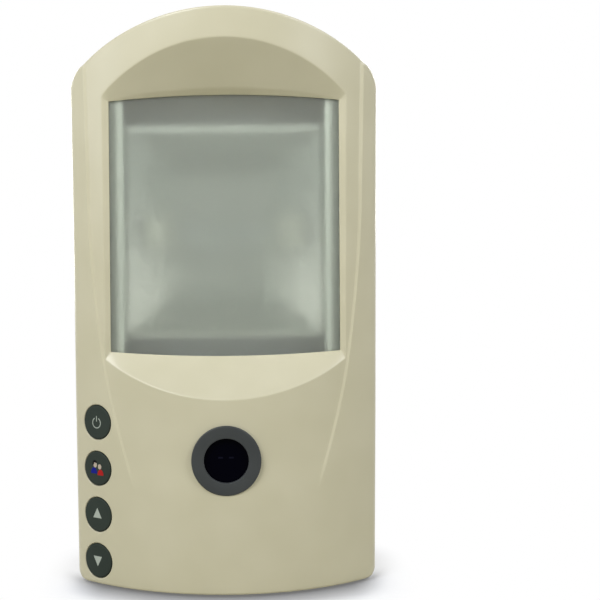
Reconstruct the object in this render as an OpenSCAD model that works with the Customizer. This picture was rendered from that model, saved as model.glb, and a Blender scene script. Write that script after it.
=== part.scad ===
// Table-top facial sun lamp: bowed two-part housing, filter glass between scooped reveals,
// aluminium reflector with a quartz burner, cooling fan, display and a column of four push buttons.
// X runs to the viewer's right, Y to the rear, Z up; the rubber feet stand on Z = 0.

/* [Housing] */
// Height from the underside of the feet to the crown of the arch
overall_h = 422; // [407:1:442]
// Depth from the bowed front to the flat back
overall_d = 130; // [126:1:145]
// Width across the shoulders
shoulder_w = 231; // [228:1:236]
// Width across the base
base_w = 223; // [221:1:227]
// Drop from the crown to the level where the shoulder width is measured
shoulder_drop = 55; // [50:1:65]
// Radius of the bowed front, seen from above
front_r = 168; // [165:1:174]
// Radius of the arched top, seen from the front
arch_r = 175; // [170:1:185]
// Rounding of the shoulders, seen from the front
shoulder_r = 20; // [10:1:24]
// Rounding of the two lower corners, seen from the front
bottom_r = 7; // [4:1:10]
// Rounding between the bowed front and the sides, seen from above
cheek_r = 9; // [5:1:12]
// Rounding of the upright rear edges, seen from above
rear_r = 16; // [8:1:22]
// Fall of the roof towards the back, in degrees
roof_fall = 4; // [1:0.5:6]
// Wall thickness of the mouldings
wall = 3; // [2.6:0.1:3.4]
// Depth of the parting line behind the front
parting_d = 80; // [76:1:86]

/* [Sunken centre panel] */
// Width of the centre panel at its waist
panel_w = 203; // [196:1:205]
// Height of the waist, where the panel's edges start to curve inwards
waist_z = 302; // [282:1:322]
// Radius of the curved edges below the waist
panel_edge_r = 767; // [650:1:900]
// Outward lean of the edges above the waist, in degrees
panel_lean = 1.4; // [0:0.1:2]
// Height at which the panel runs out into the front
panel_end = 64; // [54:1:72]
// Depth of the panel below the front at the crown
panel_sink = 1.4; // [0.8:0.1:1.8]
// Depth left where the panel runs out
panel_toe = 0.15; // [0.1:0.05:0.3]

/* [Window] */
// Width of the window at the glass
window_w = 169; // [160:1:170]
// Height of the window at the glass, on the centre line
window_h = 192; // [180:1:196]
// Height of the window's centre above the feet
window_z = 266; // [262:1:270]
// Depth of the glass behind the front
glass_setback = 29; // [28:0.5:31]
// Slope of the upper reveal, in degrees
upper_slope = 54; // [48:1:56]
// Slope of the lower reveal, in degrees
lower_slope = 45; // [40:1:50]
// Slope of the side reveals, in degrees
side_slope = 45; // [40:1:50]
// Radius of the barrel-shaped upper and lower reveals
reveal_r = 1400; // [1000:10:2000]
// Thickness of the filter glass
glass_t = 3; // [2:0.1:4]
// Thickness of the silicone gasket before the glass
gasket_t = 0.8; // [0.5:0.1:1.2]
// Overlap of the glass behind the window's rim
glass_lap = 3; // [2.5:0.1:3.2]
// Width of the rail that shows inside the window
rail_show = 11.3; // [6:0.1:12]
// Radius of the rail's rolled edge
rail_roll = 5; // [3:0.5:7]
// Sheet thickness of the rails
rail_t = 1; // [0.8:0.1:1.4]

/* [Reflector and lamp] */
// Width of the reflector's mouth
mouth_w = 147; // [140:1:150]
// Height of the reflector's mouth
mouth_h = 150; // [148:1:160]
// Width of the reflector's floor
floor_w = 72; // [66:1:80]
// Height of the reflector's floor
floor_h = 88; // [80:1:96]
// Depth of the reflector
tray_d = 38; // [34:1:42]
// Sheet thickness of the reflector
tray_t = 0.8; // [0.6:0.1:1]
// Gap between the rails and the reflector's mouth
mouth_gap = 10; // [9:0.5:12]
// Height of the lamp's axis above the floor of the reflector
lamp_rise = 18; // [17:0.5:20]
// How far the lamp and its reflector sit below the middle of the window
lamp_drop = 4; // [0:0.5:6]
// Radius of the quartz tube
tube_r = 8; // [6:0.5:9]
// Length of the lamp over its caps
lamp_len = 104; // [98:1:108]
// Radius of the lamp's ceramic caps
cap_r = 8.5; // [7:0.5:9]
// Length of the lamp's ceramic caps
cap_len = 14; // [12:0.5:16]
// Width of the ceramic lamp sockets
socket_w = 24; // [22:0.5:25]
// Length of the ceramic lamp sockets
socket_len = 18; // [16:0.5:20]
// Sheet thickness of the bracket, the chassis plate and the heat shield
sheet_t = 1.2; // [1:0.1:1.5]
// Gap between the lamp bracket and the chassis plate
bracket_gap = 6; // [6:0.5:8]

/* [Buttons] */
// Distance of the button column from the middle of the housing
button_x = 95.4; // [94:0.1:96]
// Height of the lowest button
button_low = 19; // [17:0.1:21]
// Spacing of the buttons
button_pitch = 34.2; // [33:0.1:36]
// Radius of a button
button_r = 12.5; // [11:0.1:12.6]
// How far the buttons stand proud of the front
button_proud = 0.4; // [0:0.1:0.8]
// Travel of a button
button_travel = 0.9; // [0.5:0.1:1.2]

/* [Display] */
// Height of the display's centre
display_z = 98; // [94:1:100]
// Radius of the bezel's face
bezel_r = 25; // [22:0.5:26]
// Radius of the display's visible disc
disc_r = 16; // [14:0.5:16]
// How far the bezel stands proud of the front
bezel_proud = 0.6; // [0.2:0.1:1.2]
// Thickness of the display's lens
lens_t = 2; // [1.5:0.1:2.5]

/* [Cooling fan] */
// Width of the square fan frame
fan_w = 80; // [76:1:84]
// Depth of the fan frame
fan_d = 25; // [22:0.5:27]
// Radius of the fan's bore
fan_bore_r = 38; // [35:0.5:38]
// Radius of the rotor's hub
hub_r = 17; // [15:0.5:18]
// Number of blades
blade_count = 7; // [5:1:9]
// Pitch of the blades, in degrees
blade_pitch = 38; // [30:1:45]

/* [Feet and cord inlet] */
// Height of the feet below the housing
foot_h = 2; // [1.5:0.1:3]
// Radius of the feet
foot_r = 7; // [5:0.5:8]
// Bore of the cord gland
gland_bore_r = 3.6; // [3:0.1:4.2]

/* [Hidden] */
$fn = 64;

// Running, push and blending clearances
snug = 0.05;
loose = 0.3;
ease = 0.1;
blend_a = 3;
over = 1;

// Screws: plain pan heads in three lengths of shank
screw_r = 1.4;
head_r = 2.7;
head_h = 1.8;
pilot_r = screw_r + snug;
clear_r = screw_r + loose;
small_r = 1;
small_head_r = 1.9;
small_head_h = 1.2;

// Main planes of the housing
front_y = -overall_d / 2;
back_y = overall_d / 2;
inner_back_y = back_y - wall;
fan_y0 = inner_back_y - fan_d;
bow_y = front_y + front_r;
part_y = front_y + parting_d;
arch_z = overall_h - arch_r;
floor_z = foot_h + wall;
taper = atan((shoulder_w - base_w) / 2 / (overall_h - shoulder_drop - foot_h));

// Lip of the rear cover inside the front shell
lip_t = 1.4;
lip_d = 3;
lip_gap = 0.2;

// Screw posts along the flanks
post_r = 4;
tube_wall_r = 5;
case_z = [button_low + button_pitch / 2, overall_h - shoulder_drop - tube_wall_r];
case_seat = 6;
case_screw_len = 16;

// Window, glass and rails
glass_y = front_y + glass_setback;
crown_room = 54;
window_top = min(window_z + window_h / 2, overall_h - crown_room);
window_low = window_z - window_h / 2;
window_mid = (window_top + window_low) / 2;
opening_h = window_top - window_low;
chassis_inset = [16, 28];
chassis_z = [window_low + chassis_inset[0], window_top - chassis_inset[1]];
glass_half = window_w / 2 + glass_lap;
glass_top = window_top + glass_lap;
glass_low = window_low - glass_lap;
pane_y = glass_y + gasket_t;
rail_y = pane_y + glass_t;
rail_in = window_w / 2 - rail_show;
rail_room = min(post_x(chassis_z[0]), post_x(case_z[1])) - post_r;
rail_out = min(bow_reach(rail_y), rail_room) - 2 * loose;
rail_boss_x = (glass_half + rail_out) / 2;
rail_boss_r = (rail_out - glass_half) / 2 - ease;
rail_inset = 12;
rail_screw_z = [window_low + rail_inset, window_mid, window_top - rail_inset];
rail_screw_len = 3;

// Reflector, lamp and chassis
fan_room = 2.5;
stack_d = tray_d + tray_t + bracket_gap + 2 * sheet_t;
mouth_y = min(rail_y + rail_t + mouth_gap, fan_y0 - fan_room - stack_d);
tray_y = mouth_y + tray_d;
flange_w = 4;
lamp_y = tray_y - lamp_rise;
lamp_mid = window_mid - lamp_drop;
cap_seat = 8;
arm_x = lamp_len / 2 + socket_len - cap_seat;
arm_w = 24;
bracket_y = tray_y + tray_t;
chassis_y = bracket_y + sheet_t + bracket_gap;
shield_drop = 7;
chassis_low = glass_low - shield_drop;
chassis_top = case_z[1] - tube_wall_r - over;
chassis_half = min(half_at(chassis_low), half_at(chassis_top)) - wall - over;
foot_x = 25;
foot_w = 10;
chassis_screw_len = 9;
bracket_screw_len = 4;
cutout_r = 8;
cutout_t = 5;
cutout_tab = [4, 2, 0.8];
vent_h = 26;
vent_gap = 6;
vent_z = arm_w / 2 + vent_h / 2 + vent_gap;
shield_gap = 2;
shield_half = rail_out - shield_gap;
shield_y = rail_y + rail_t + shield_gap;
shield_lip = 12;
shield_slots = 7;
shield_pitch = 22;
shield_slot = [14, 4];
shield_slot_y = chassis_y - 20;

// Button column: local Y points into the housing, square to the bowed front
button_gap = 0.35;
collar_t = 1.5;
collar_r = button_r + button_gap + collar_t;
column_turn = asin((base_w / 2 - button_r) / front_r);
column_x = min(button_x, base_w / 2 - wall - collar_r * cos(column_turn));
button_a = asin(column_x / front_r);
collar_len = 6;
lug_t = 1.6;
lug_w = 12;
lug_end = collar_len + ease + lug_t;
plunger_r = 1.75;
plunger_out = 1;
plunger_in = 1.2;
switch_w = 6.2;
switch_h = 3.6;
button_spare = 0.8;
switch_y = lug_end + button_travel + button_spare;
button_board_y = switch_y + switch_h;
board_t = 1.6;
button_board_w = 20;
button_board_end = 9;
stem_r = 2.5;
board_post_r = 2.6;
board_post_i = [0.5, 2.5];
board_screw_len = 6;

// Display
bezel_seat_y = front_y + bezel_r * bezel_r / (2 * front_r);
bezel_y = front_y - bezel_proud;
bezel_edge = 0.8;
lens_lap = 1.5;
lens_sink = 1;
spigot_t = 3.5;
spigot_len = 8;
spigot_r = disc_r + spigot_t;
spigot_end_y = bezel_seat_y + spigot_len;
boss_back_y = bezel_seat_y + spigot_len / 2;
lens_y = bezel_seat_y + lens_sink;
clip_t = 1.2;
clip_w = 4;
clip_r = spigot_r + clip_w;
control_d = 16;
control_y = front_y + control_d;
control_w = 66;
control_h = 62;
control_inset = 6;
module_w = 26;
module_h = 15;
module_d = 7;
control_post_r = 3.2;

// Power electronics on the back wall
stand_d = 8.5;
stand_r = 4;
ballast_x = 30;
ballast_z = 50;
core_w = 64;
core_d = 40;
core_h = 54;
limb_w = 20;
slot_w = 11;
slot_h = 34;
coil_d = 54;
ear_w = 13;
ear_t = 2;
core_y = inner_back_y - stand_d - core_d / 2;
ear_hole_x = core_w / 2 + ear_w / 2;
power_y = inner_back_y - stand_d - board_t;
power_side = 17.5;
power_w = 64;
power_x0 = power_side - base_w / 2;
power_x1 = power_x0 + power_w;
power_z0 = 22;
power_z1 = 122;
power_inset = 6;
terminal_side = 25.5;
terminal_x = base_w / 2 - terminal_side;
terminal_z = 74;
terminal_size = [18, 15, 32];
terminal_pitch = 10;
terminal_screw_r = 2.4;
terminal_screw_d = 6;
terminal_wire_r = 1.6;

// Parts on the power board: middle from the board's nearest corner, then size
relay_at = [22, 22];
relay_size = [20, 16, 16];
can_at = [18, 26];
can_r = 12;
can_len = 27;
can_edge = 0.8;
supply_at = [26, 34];
supply_core = [36, 26, 28];
supply_coil = [22, 26, 36];
supply_step = 3;
fuse_at = [12, 40];
fuse_size = [10, 10, 24];
fuse_trough = [6, 8, 20];
fuse_floor = 4;

// Cord gland
gland_side = 27.5;
gland_x = base_w / 2 - gland_side;
gland_z = 28;
gland_flange_r = gland_bore_r + 5.4;
gland_flange_t = 2.8;
gland_r = gland_bore_r + 2.4;
gland_boss_t = 8;
gland_len = 15;
gland_nut_t = 4;
gland_nut_r = gland_r + 4;

// Fan
fan_z = window_mid;
fan_edge = 8.5;
fan_pitch = fan_w - fan_edge;
tip_gap = 1;
fan_gap = 1.5;
spider_t = 3;
bearing_r = 4;
shaft_r = 1.5;
rotor_y0 = fan_y0 + fan_gap;
hub_y1 = inner_back_y - spider_t - fan_gap;
hub_wall = 2;
blade_t = 1.6;
fan_screw_len = 9;
sink_d = 2;
grille_bar = 2.2;
grille_gap = 4.4;
spoke_w = 3.5;

// Air inlets in the rear cover
inlet_w = 62;
inlet_h = 4;
inlet_pitch = 9;
inlet_rows = 4;
inlet_x = 44;
inlet_z = 136;

// Feet
foot_side = [51.5, 31.5];
foot_setback = [32, 22];
foot_place = [
    [base_w / 2 - foot_side[0], front_y + foot_setback[0]],
    [base_w / 2 - foot_side[1], back_y - foot_setback[1]]
];
foot_draft = 0.5;
spigot_foot_r = 2.4;

// Half-width of the housing at a height, and the place of a screw post there, clear of the lip
function half_at(z) = base_w / 2 + (z - foot_h) * tan(taper);

function post_x(z) = half_at(z) - wall - lip_gap - lip_t - post_r - over;

// Reach of the bowed front's inside from the middle, at a depth
function bow_reach(y) = sqrt(pow(front_r - wall, 2) - pow(bow_y - y, 2));

// Points along an arc about c from angle a0 to angle a1
function arc(c, r, a0, a1, n = 8) =
    [for (i = [0:n]) let (a = a0 + (a1 - a0) * i / n) c + r * [cos(a), sin(a)]];

function mirrored(pts) = [for (i = [len(pts) - 1:-1:0]) [-pts[i].x, pts[i].y]];

// One flank seen from above: the rounded rear edge and the straight side
function flank_points(inset) =
    let (
        hx = base_w / 2 - inset,
        yb = back_y - inset,
        rear = rear_r - inset
    )
    concat(
        [[-base_w, yb]],
        arc([hx - rear, yb - rear], rear, 90, 0),
        [[hx, 2 * front_y], [-base_w, 2 * front_y]]
    );

// Rounding between the bow and a side: its radius, its centre at the base and its lean along the bow
function cheek_round(inset) = max(cheek_r - inset, 1);

function cheek_middle(inset) =
    let (
        r = cheek_round(inset),
        x = base_w / 2 - inset - r
    )
    [x, bow_y - sqrt(pow(front_r - inset - r, 2) - x * x)];

function cheek_lean(inset) =
    let (c = cheek_middle(inset))
    atan(tan(taper) * c.x / (bow_y - c.y));

// The rounding about its centre, seen from above; both ends stop short of the faces they blend
function cheek_points(inset) =
    let (
        c = cheek_middle(inset),
        turn = atan2(c.y - bow_y, c.x) + blend_a,
        rim = arc([0, 0], cheek_round(inset), -blend_a, turn),
        first = rim[0] + overall_d * [sin(blend_a / 2), cos(blend_a / 2)],
        last = rim[len(rim) - 1] + front_r * [sin(turn - blend_a / 2), -cos(turn - blend_a / 2)]
    )
    concat([[-2 * base_w, first.y], first], rim, [last, [-2 * base_w, last.y]]);

// Right half of the roof's outline: leaning side, shoulder rounding and the tangent up to the ridge
function roof_half(inset) =
    let (
        rs = shoulder_r - inset,
        foot = [base_w / 2 - inset + ease, foot_h],
        u = [sin(taper), cos(taper)],
        n = [-cos(taper), sin(taper)],
        q = foot + rs * n - [0, arch_z],
        reach = arch_r - inset - rs,
        c = foot + rs * n + (sqrt(pow(q * u, 2) - q * q + reach * reach) - q * u) * u,
        lean = atan2(c.y - arch_z, c.x) - blend_a,
        rim = arc(c, rs, -taper, lean),
        last = rim[len(rim) - 1],
        tip = lean + blend_a / 2
    )
    concat(
        [foot - overall_h * u],
        rim,
        [[0, last.y + last.x * cos(tip) / sin(tip)]]
    );

// Right half of the lower outline: the rounded corner and the leaning side
function base_half(inset) =
    let (
        rb = max(bottom_r - inset, 1),
        foot = [base_w / 2 - inset + ease, foot_h],
        u = [sin(taper), cos(taper)],
        n = [-cos(taper), sin(taper)],
        c = foot + rb * n + (inset + rb - rb * sin(taper)) / cos(taper) * u,
        rim = arc(c, rb, -90, -taper, 6)
    )
    concat(rim, [rim[len(rim) - 1] + 1.5 * overall_h * u]);

// Half-width of the centre panel at a height
function panel_half(z) =
    z > waist_z
        ? panel_w / 2 + (z - waist_z) * tan(panel_lean)
        : panel_w / 2 - panel_edge_r + sqrt(pow(panel_edge_r, 2) - pow(waist_z - z, 2));

function button_z(i) = button_low + i * button_pitch;

module rod(r, y0, y1) {
    translate([0, y0, 0])
        rotate([-90, 0, 0])
            cylinder(r = r, h = y1 - y0);
}

module slab(low, high) {
    translate(low)
        cube(high - low);
}

// An outline in X and Z carried along Y
module along_y(y0, y1) {
    translate([0, y1, 0])
        rotate([90, 0, 0])
            linear_extrude(y1 - y0)
                children();
}

module both_sides() {
    children();
    mirror([1, 0, 0])
        children();
}

module screw(len) {
    rod(head_r, -head_h, 0);
    rod(screw_r, -head_h / 2, len);
}

module small_screw(len) {
    rod(small_head_r, -small_head_h, 0);
    rod(small_r, -small_head_h / 2, len);
}

// The bowed front as an upright cylinder
module bow(grow = 0) {
    translate([0, bow_y, -over])
        cylinder(r = front_r + grow, h = overall_h + 2 * over, $fn = 180);
}

// Everything inside the right flank: the leaning side with its rear rounding, and the cheek rounding
module flank(inset) {
    low = -overall_h / 4;
    long = 1.5 * overall_h;
    c = cheek_middle(inset);
    intersection() {
        translate([0, 0, foot_h])
            rotate([0, taper, 0])
                translate([0, 0, low])
                    linear_extrude(long)
                        polygon(flank_points(inset));
        translate([c.x, c.y, foot_h])
            rotate([-cheek_lean(inset), taper, 0])
                translate([0, 0, low])
                    linear_extrude(long)
                        polygon(cheek_points(inset));
    }
}

// The housing's outer form with every face moved in by inset
module housing_form(inset) {
    intersection() {
        bow(-inset);
        flank(inset);
        mirror([1, 0, 0])
            flank(inset);
        along_y(front_y - over, back_y + over)
            polygon(concat(base_half(inset), mirrored(base_half(inset))));
        translate([0, front_y, overall_h])
            rotate([-roof_fall, 0, 0])
                translate([0, 0, -overall_h])
                    along_y(-overall_d, 2 * overall_d)
                        intersection() {
                            union() {
                                translate([0, arch_z])
                                    circle(arch_r - inset, $fn = 180);
                                translate([-shoulder_w, -overall_h])
                                    square([2 * shoulder_w, overall_h + arch_z]);
                            }
                            polygon(concat(roof_half(inset), mirrored(roof_half(inset))));
                        }
    }
}

module between(y0, y1) {
    slab([-shoulder_w, y0, -over], [shoulder_w, y1, overall_h + over]);
}

// The sunken centre panel: its outline less a bow that leans back towards the crown
module panel_cut() {
    steps = 24;
    top = overall_h + over;
    edge = [
        for (i = [0:steps])
            let (z = panel_end + (top - panel_end) * i / steps)
                [panel_half(z), z]
    ];
    tilt = atan((panel_sink - panel_toe) / (overall_h - panel_end));
    difference() {
        along_y(front_y - over, part_y)
            polygon(concat(edge, mirrored(edge)));
        translate([0, front_y, panel_end])
            rotate([-tilt, 0, 0])
                translate([0, front_r + panel_toe, -panel_end])
                    cylinder(r = front_r, h = 1.2 * overall_h, $fn = 180);
    }
}

// A barrel whose skin runs through the origin, square to the reveal's slope
module reveal(slope, grow) {
    rotate([-slope, 0, 0])
        translate([0, 0, -reveal_r])
            rotate([90, 0, 0])
                cylinder(r = reveal_r + grow, h = 2 * overall_h, center = true, $fn = 360);
}

// The space before the glass, with its reveals moved out by grow
module window_space(grow, y_end) {
    half = window_w / 2 + grow / cos(side_slope);
    run = glass_setback + over;
    intersection() {
        translate([0, 0, window_low - overall_h / 4])
            linear_extrude(opening_h + overall_h / 2)
                polygon([
                    [-half, y_end],
                    [half, y_end],
                    [half, glass_y],
                    [half + run * tan(side_slope), glass_y - run],
                    [-half - run * tan(side_slope), glass_y - run],
                    [-half, glass_y]
                ]);
        translate([0, glass_y, window_top])
            reveal(upper_slope, grow);
        translate([0, glass_y, window_low])
            mirror([0, 0, 1])
                reveal(lower_slope, grow);
    }
}

// The window's outline in the plane of the glass
module window_outline(grow) {
    upper_r = reveal_r * cos(upper_slope);
    lower_r = reveal_r * cos(lower_slope);
    intersection() {
        translate([-window_w / 2 - grow, window_low - over])
            square([window_w + 2 * grow, opening_h + 2 * over]);
        translate([0, window_top - upper_r])
            circle(upper_r + grow, $fn = 360);
        translate([0, window_low + lower_r])
            circle(lower_r + grow, $fn = 360);
    }
}

module at_buttons() {
    translate([-column_x, bow_y - front_r * cos(button_a), 0])
        rotate([0, 0, -button_a])
            children();
}

module at_each_button() {
    at_buttons()
        for (i = [0:3])
            translate([0, 0, button_z(i)])
                children();
}

module at_control_corners() {
    for (x = [-1, 1], z = [-1, 1])
        translate([
            x * (control_w / 2 - control_inset), 0,
            display_z + z * (control_h / 2 - control_inset)
        ])
            children();
}

module at_case_posts() {
    for (x = [-1, 1], z = case_z)
        translate([x * post_x(z), 0, z])
            children();
}

module at_chassis_posts() {
    for (x = [-1, 1], z = chassis_z)
        translate([x * post_x(z), 0, z])
            children();
}

module at_rail_screws(side) {
    for (z = rail_screw_z)
        translate([side * rail_boss_x, 0, z])
            children();
}

module at_ballast_ears() {
    for (x = [-1, 1])
        translate([ballast_x + x * ear_hole_x, 0, ballast_z])
            children();
}

module at_power_corners() {
    for (x = [power_x0 + power_inset, power_x1 - power_inset])
        for (z = [power_z0 + power_inset, power_z1 - power_inset])
            translate([x, 0, z])
                children();
}

module at_fan_corners() {
    for (x = [-1, 1], z = [-1, 1])
        translate([x * fan_pitch / 2, 0, fan_z + z * fan_pitch / 2])
            children();
}

module at_feet(places) {
    for (x = [-1, 1], p = places)
        translate([x * p.x, p.y, 0])
            children();
}

// Posts, bosses and collars on the inside of the front shell, ending inside its wall
module front_fixings() {
    intersection() {
        housing_form(wall / 2);
        union() {
            at_case_posts()
                rod(post_r, front_y, part_y);
            at_chassis_posts()
                rod(post_r, front_y, chassis_y);
            for (x = [-1, 1])
                for (z = concat(case_z, chassis_z))
                    translate([x * post_x(z), 0, z])
                        slab(
                            [x > 0 ? 0 : -2 * post_r, front_y, -wall / 3],
                            [x > 0 ? 2 * post_r : 0, part_y - lip_d - over, wall / 3]
                        );
            for (side = [-1, 1])
                at_rail_screws(side)
                    rod(rail_boss_r, front_y, rail_y);
            at_control_corners()
                rod(control_post_r, front_y, control_y);
            translate([0, 0, display_z])
                rod(clip_r + over, front_y, boss_back_y);
            at_each_button()
                rod(collar_r, -wall, collar_len);
            at_buttons()
                for (i = board_post_i)
                    translate([0, 0, button_z(i)])
                        rod(board_post_r, -wall, button_board_y);
        }
    }
}

module front_shell() {
    color("#cdc6a8")
        difference() {
            union() {
                difference() {
                    intersection() {
                        housing_form(0);
                        between(front_y - over, part_y);
                    }
                    housing_form(wall);
                }
                intersection() {
                    housing_form(wall / 4);
                    window_space(wall, glass_y);
                }
                front_fixings();
            }
            window_space(0, glass_y + over);
            panel_cut();
            at_case_posts()
                rod(pilot_r, part_y - case_screw_len, part_y + over);
            at_chassis_posts()
                rod(pilot_r, chassis_y - chassis_screw_len, chassis_y + over);
            for (side = [-1, 1])
                at_rail_screws(side)
                    rod(small_r + snug, rail_y - rail_screw_len, rail_y + over);
            at_control_corners()
                rod(pilot_r, control_y - board_screw_len, control_y + over);
            translate([0, 0, display_z]) {
                rod(bezel_r + ease, front_y - over, bezel_seat_y);
                rod(spigot_r + ease, front_y, boss_back_y + over);
            }
            at_each_button()
                rod(button_r + button_gap, -2 * wall, switch_y);
            at_buttons()
                for (i = board_post_i)
                    translate([0, 0, button_z(i)])
                        rod(pilot_r, button_board_y - board_screw_len, button_board_y + over);
            at_feet([foot_place[0]])
                cylinder(r = spigot_foot_r + snug, h = 2 * floor_z);
        }
}

// Slots of the fan grille: rings cut by spokes
module fan_grille() {
    pitch = grille_bar + grille_gap;
    rings = floor((fan_bore_r - hub_r + grille_bar) / pitch);
    difference() {
        for (k = [0:rings - 1])
            difference() {
                rod(fan_bore_r - k * pitch, inner_back_y - over, back_y + over);
                rod(fan_bore_r - k * pitch - grille_gap, inner_back_y - 2 * over, back_y + 2 * over);
            }
        for (a = [45, 135])
            rotate([0, a, 0])
                slab(
                    [-fan_w, inner_back_y - 3 * over, -spoke_w / 2],
                    [fan_w, back_y + 3 * over, spoke_w / 2]
                );
    }
}

// Screw tubes and stand-offs on the inside of the rear cover, ending inside its wall
module rear_fixings() {
    intersection() {
        housing_form(wall / 2);
        union() {
            at_case_posts()
                rod(tube_wall_r, part_y, back_y);
            at_ballast_ears()
                rod(stand_r, inner_back_y - stand_d, back_y);
            at_power_corners()
                rod(stand_r, inner_back_y - stand_d, back_y);
            translate([gland_x, 0, gland_z])
                rod(gland_flange_r + wall, back_y - gland_boss_t, back_y);
        }
    }
}

module rear_cover() {
    color("#c4bd9f")
        difference() {
            union() {
                difference() {
                    intersection() {
                        housing_form(0);
                        between(part_y, back_y + over);
                    }
                    housing_form(wall);
                }
                difference() {
                    union() {
                        intersection() {
                            housing_form(wall / 2);
                            between(part_y, part_y + lip_d);
                        }
                        intersection() {
                            housing_form(wall + lip_gap);
                            between(part_y - lip_d, part_y + lip_d);
                        }
                    }
                    housing_form(wall + lip_gap + lip_t);
                }
                rear_fixings();
            }
            at_case_posts() {
                rod(clear_r, part_y - over, back_y);
                rod(head_r + loose, part_y + case_seat, back_y + over);
            }
            at_ballast_ears()
                rod(pilot_r, inner_back_y - stand_d - over, inner_back_y);
            at_power_corners()
                rod(pilot_r, inner_back_y - stand_d - over, inner_back_y);
            translate([gland_x, 0, gland_z]) {
                rod(gland_flange_r + ease, back_y - gland_flange_t - ease, back_y + over);
                rod(gland_r + snug, back_y - gland_boss_t - over, back_y);
            }
            translate([0, 0, fan_z])
                fan_grille();
            at_fan_corners() {
                rod(clear_r, inner_back_y - over, back_y + over);
                rod(head_r + loose, back_y - sink_d, back_y + over);
            }
            both_sides()
                for (k = [0:inlet_rows - 1])
                    translate([inlet_x, 0, inlet_z + k * inlet_pitch]) {
                        slab(
                            [-inlet_w / 2, inner_back_y - over, -inlet_h / 2],
                            [inlet_w / 2, back_y + over, inlet_h / 2]
                        );
                        for (x = [-1, 1])
                            translate([x * inlet_w / 2, 0, 0])
                                rod(inlet_h / 2, inner_back_y - over, back_y + over);
                    }
            at_feet([foot_place[1]])
                cylinder(r = spigot_foot_r + snug, h = 2 * floor_z);
        }
}

module case_screws() {
    color("silver")
        at_case_posts()
            translate([0, part_y + case_seat, 0])
                rotate([0, 0, 180])
                    screw(case_seat + case_screw_len - over);
}

module rubber_feet() {
    color("#303030")
        at_feet(foot_place) {
            cylinder(r1 = foot_r - foot_draft, r2 = foot_r, h = foot_h);
            cylinder(r = spigot_foot_r, h = floor_z);
        }
}

module filter_glass() {
    color("#a9b3aa", 0.6)
        slab([-glass_half, pane_y, glass_low], [glass_half, rail_y, glass_top]);
}

module glass_gasket() {
    color("#d8d8d0")
        difference() {
            slab([-glass_half, glass_y, glass_low], [glass_half, pane_y, glass_top]);
            along_y(glass_y - over, pane_y + over)
                window_outline(loose);
        }
}

// Rail on the right: a flat flange behind the glass whose inner edge rolls back
module glass_rail() {
    color("#c9cdca")
        difference() {
            translate([0, 0, window_low])
                linear_extrude(opening_h)
                    union() {
                        translate([rail_in + rail_roll, rail_y])
                            square([rail_out - rail_in - rail_roll, rail_t]);
                        translate([rail_in + rail_roll, rail_y + rail_roll])
                            intersection() {
                                difference() {
                                    circle(rail_roll);
                                    circle(rail_roll - rail_t);
                                }
                                translate([-2 * rail_roll, -2 * rail_roll])
                                    square([2 * rail_roll + ease, 2 * rail_roll + over]);
                            }
                    }
            at_rail_screws(1)
                rod(small_r + loose / 2, rail_y - over, rail_y + rail_t + over);
        }
}

module glass_rail_right() {
    glass_rail();
}

module glass_rail_left() {
    mirror([1, 0, 0])
        glass_rail();
}

module rail_screws() {
    color("silver")
        for (side = [-1, 1])
            at_rail_screws(side)
                translate([0, rail_y + rail_t, 0])
                    rotate([0, 0, 180])
                        small_screw(rail_t + rail_screw_len - 0.4);
}

// A four-sided tray form from the mouth back to the floor, moved out by grow
module tray_form(grow, y0, y1) {
    t0 = (y0 - mouth_y) / tray_d;
    t1 = (y1 - mouth_y) / tray_d;
    w0 = (mouth_w + (floor_w - mouth_w) * t0) / 2 + grow;
    w1 = (mouth_w + (floor_w - mouth_w) * t1) / 2 + grow;
    h0 = (mouth_h + (floor_h - mouth_h) * t0) / 2 + grow;
    h1 = (mouth_h + (floor_h - mouth_h) * t1) / 2 + grow;
    translate([0, 0, lamp_mid])
        polyhedron(
            points = [
                [-w0, y0, -h0], [w0, y0, -h0], [w0, y0, h0], [-w0, y0, h0],
                [-w1, y1, -h1], [w1, y1, -h1], [w1, y1, h1], [-w1, y1, h1]
            ],
            faces = [
                [3, 2, 1, 0], [4, 5, 6, 7],
                [0, 1, 5, 4], [1, 2, 6, 5], [2, 3, 7, 6], [3, 0, 4, 7]
            ]
        );
}

module reflector() {
    color("#d2d6d4")
        difference() {
            union() {
                difference() {
                    tray_form(1.4 * tray_t, mouth_y, tray_y + tray_t);
                    tray_form(0, mouth_y - over, tray_y);
                }
                slab(
                    [-mouth_w / 2 - flange_w, mouth_y, lamp_mid - mouth_h / 2 - flange_w],
                    [mouth_w / 2 + flange_w, mouth_y + tray_t, lamp_mid + mouth_h / 2 + flange_w]
                );
            }
            tray_form(0, mouth_y - over, tray_y);
            both_sides()
                slab(
                    [lamp_len / 2 - cap_len, lamp_y - socket_w / 2 - over, lamp_mid - socket_w / 2 - over],
                    [mouth_w, lamp_y + socket_w / 2 + over, lamp_mid + socket_w / 2 + over]
                );
            for (x = [-1, 1])
                translate([x * foot_x, 0, lamp_mid])
                    rod(clear_r, tray_y - over, bracket_y + over);
        }
}

// Strap behind the reflector: forward arms carry the sockets, rear feet stand on the chassis plate
module lamp_bracket() {
    color("#9aa0a2")
        difference() {
            union() {
                slab(
                    [-arm_x - sheet_t, bracket_y, lamp_mid - arm_w / 2],
                    [arm_x + sheet_t, bracket_y + sheet_t, lamp_mid + arm_w / 2]
                );
                both_sides() {
                    slab(
                        [arm_x, lamp_y - socket_w / 2, lamp_mid - arm_w / 2],
                        [arm_x + sheet_t, bracket_y + sheet_t, lamp_mid + arm_w / 2]
                    );
                    translate([foot_x, 0, lamp_mid])
                        rod(foot_w / 2, bracket_y + sheet_t, chassis_y);
                }
            }
            for (x = [-1, 1])
                translate([x * foot_x, 0, lamp_mid])
                    rod(pilot_r, bracket_y - over, chassis_y + over);
        }
}

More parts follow.
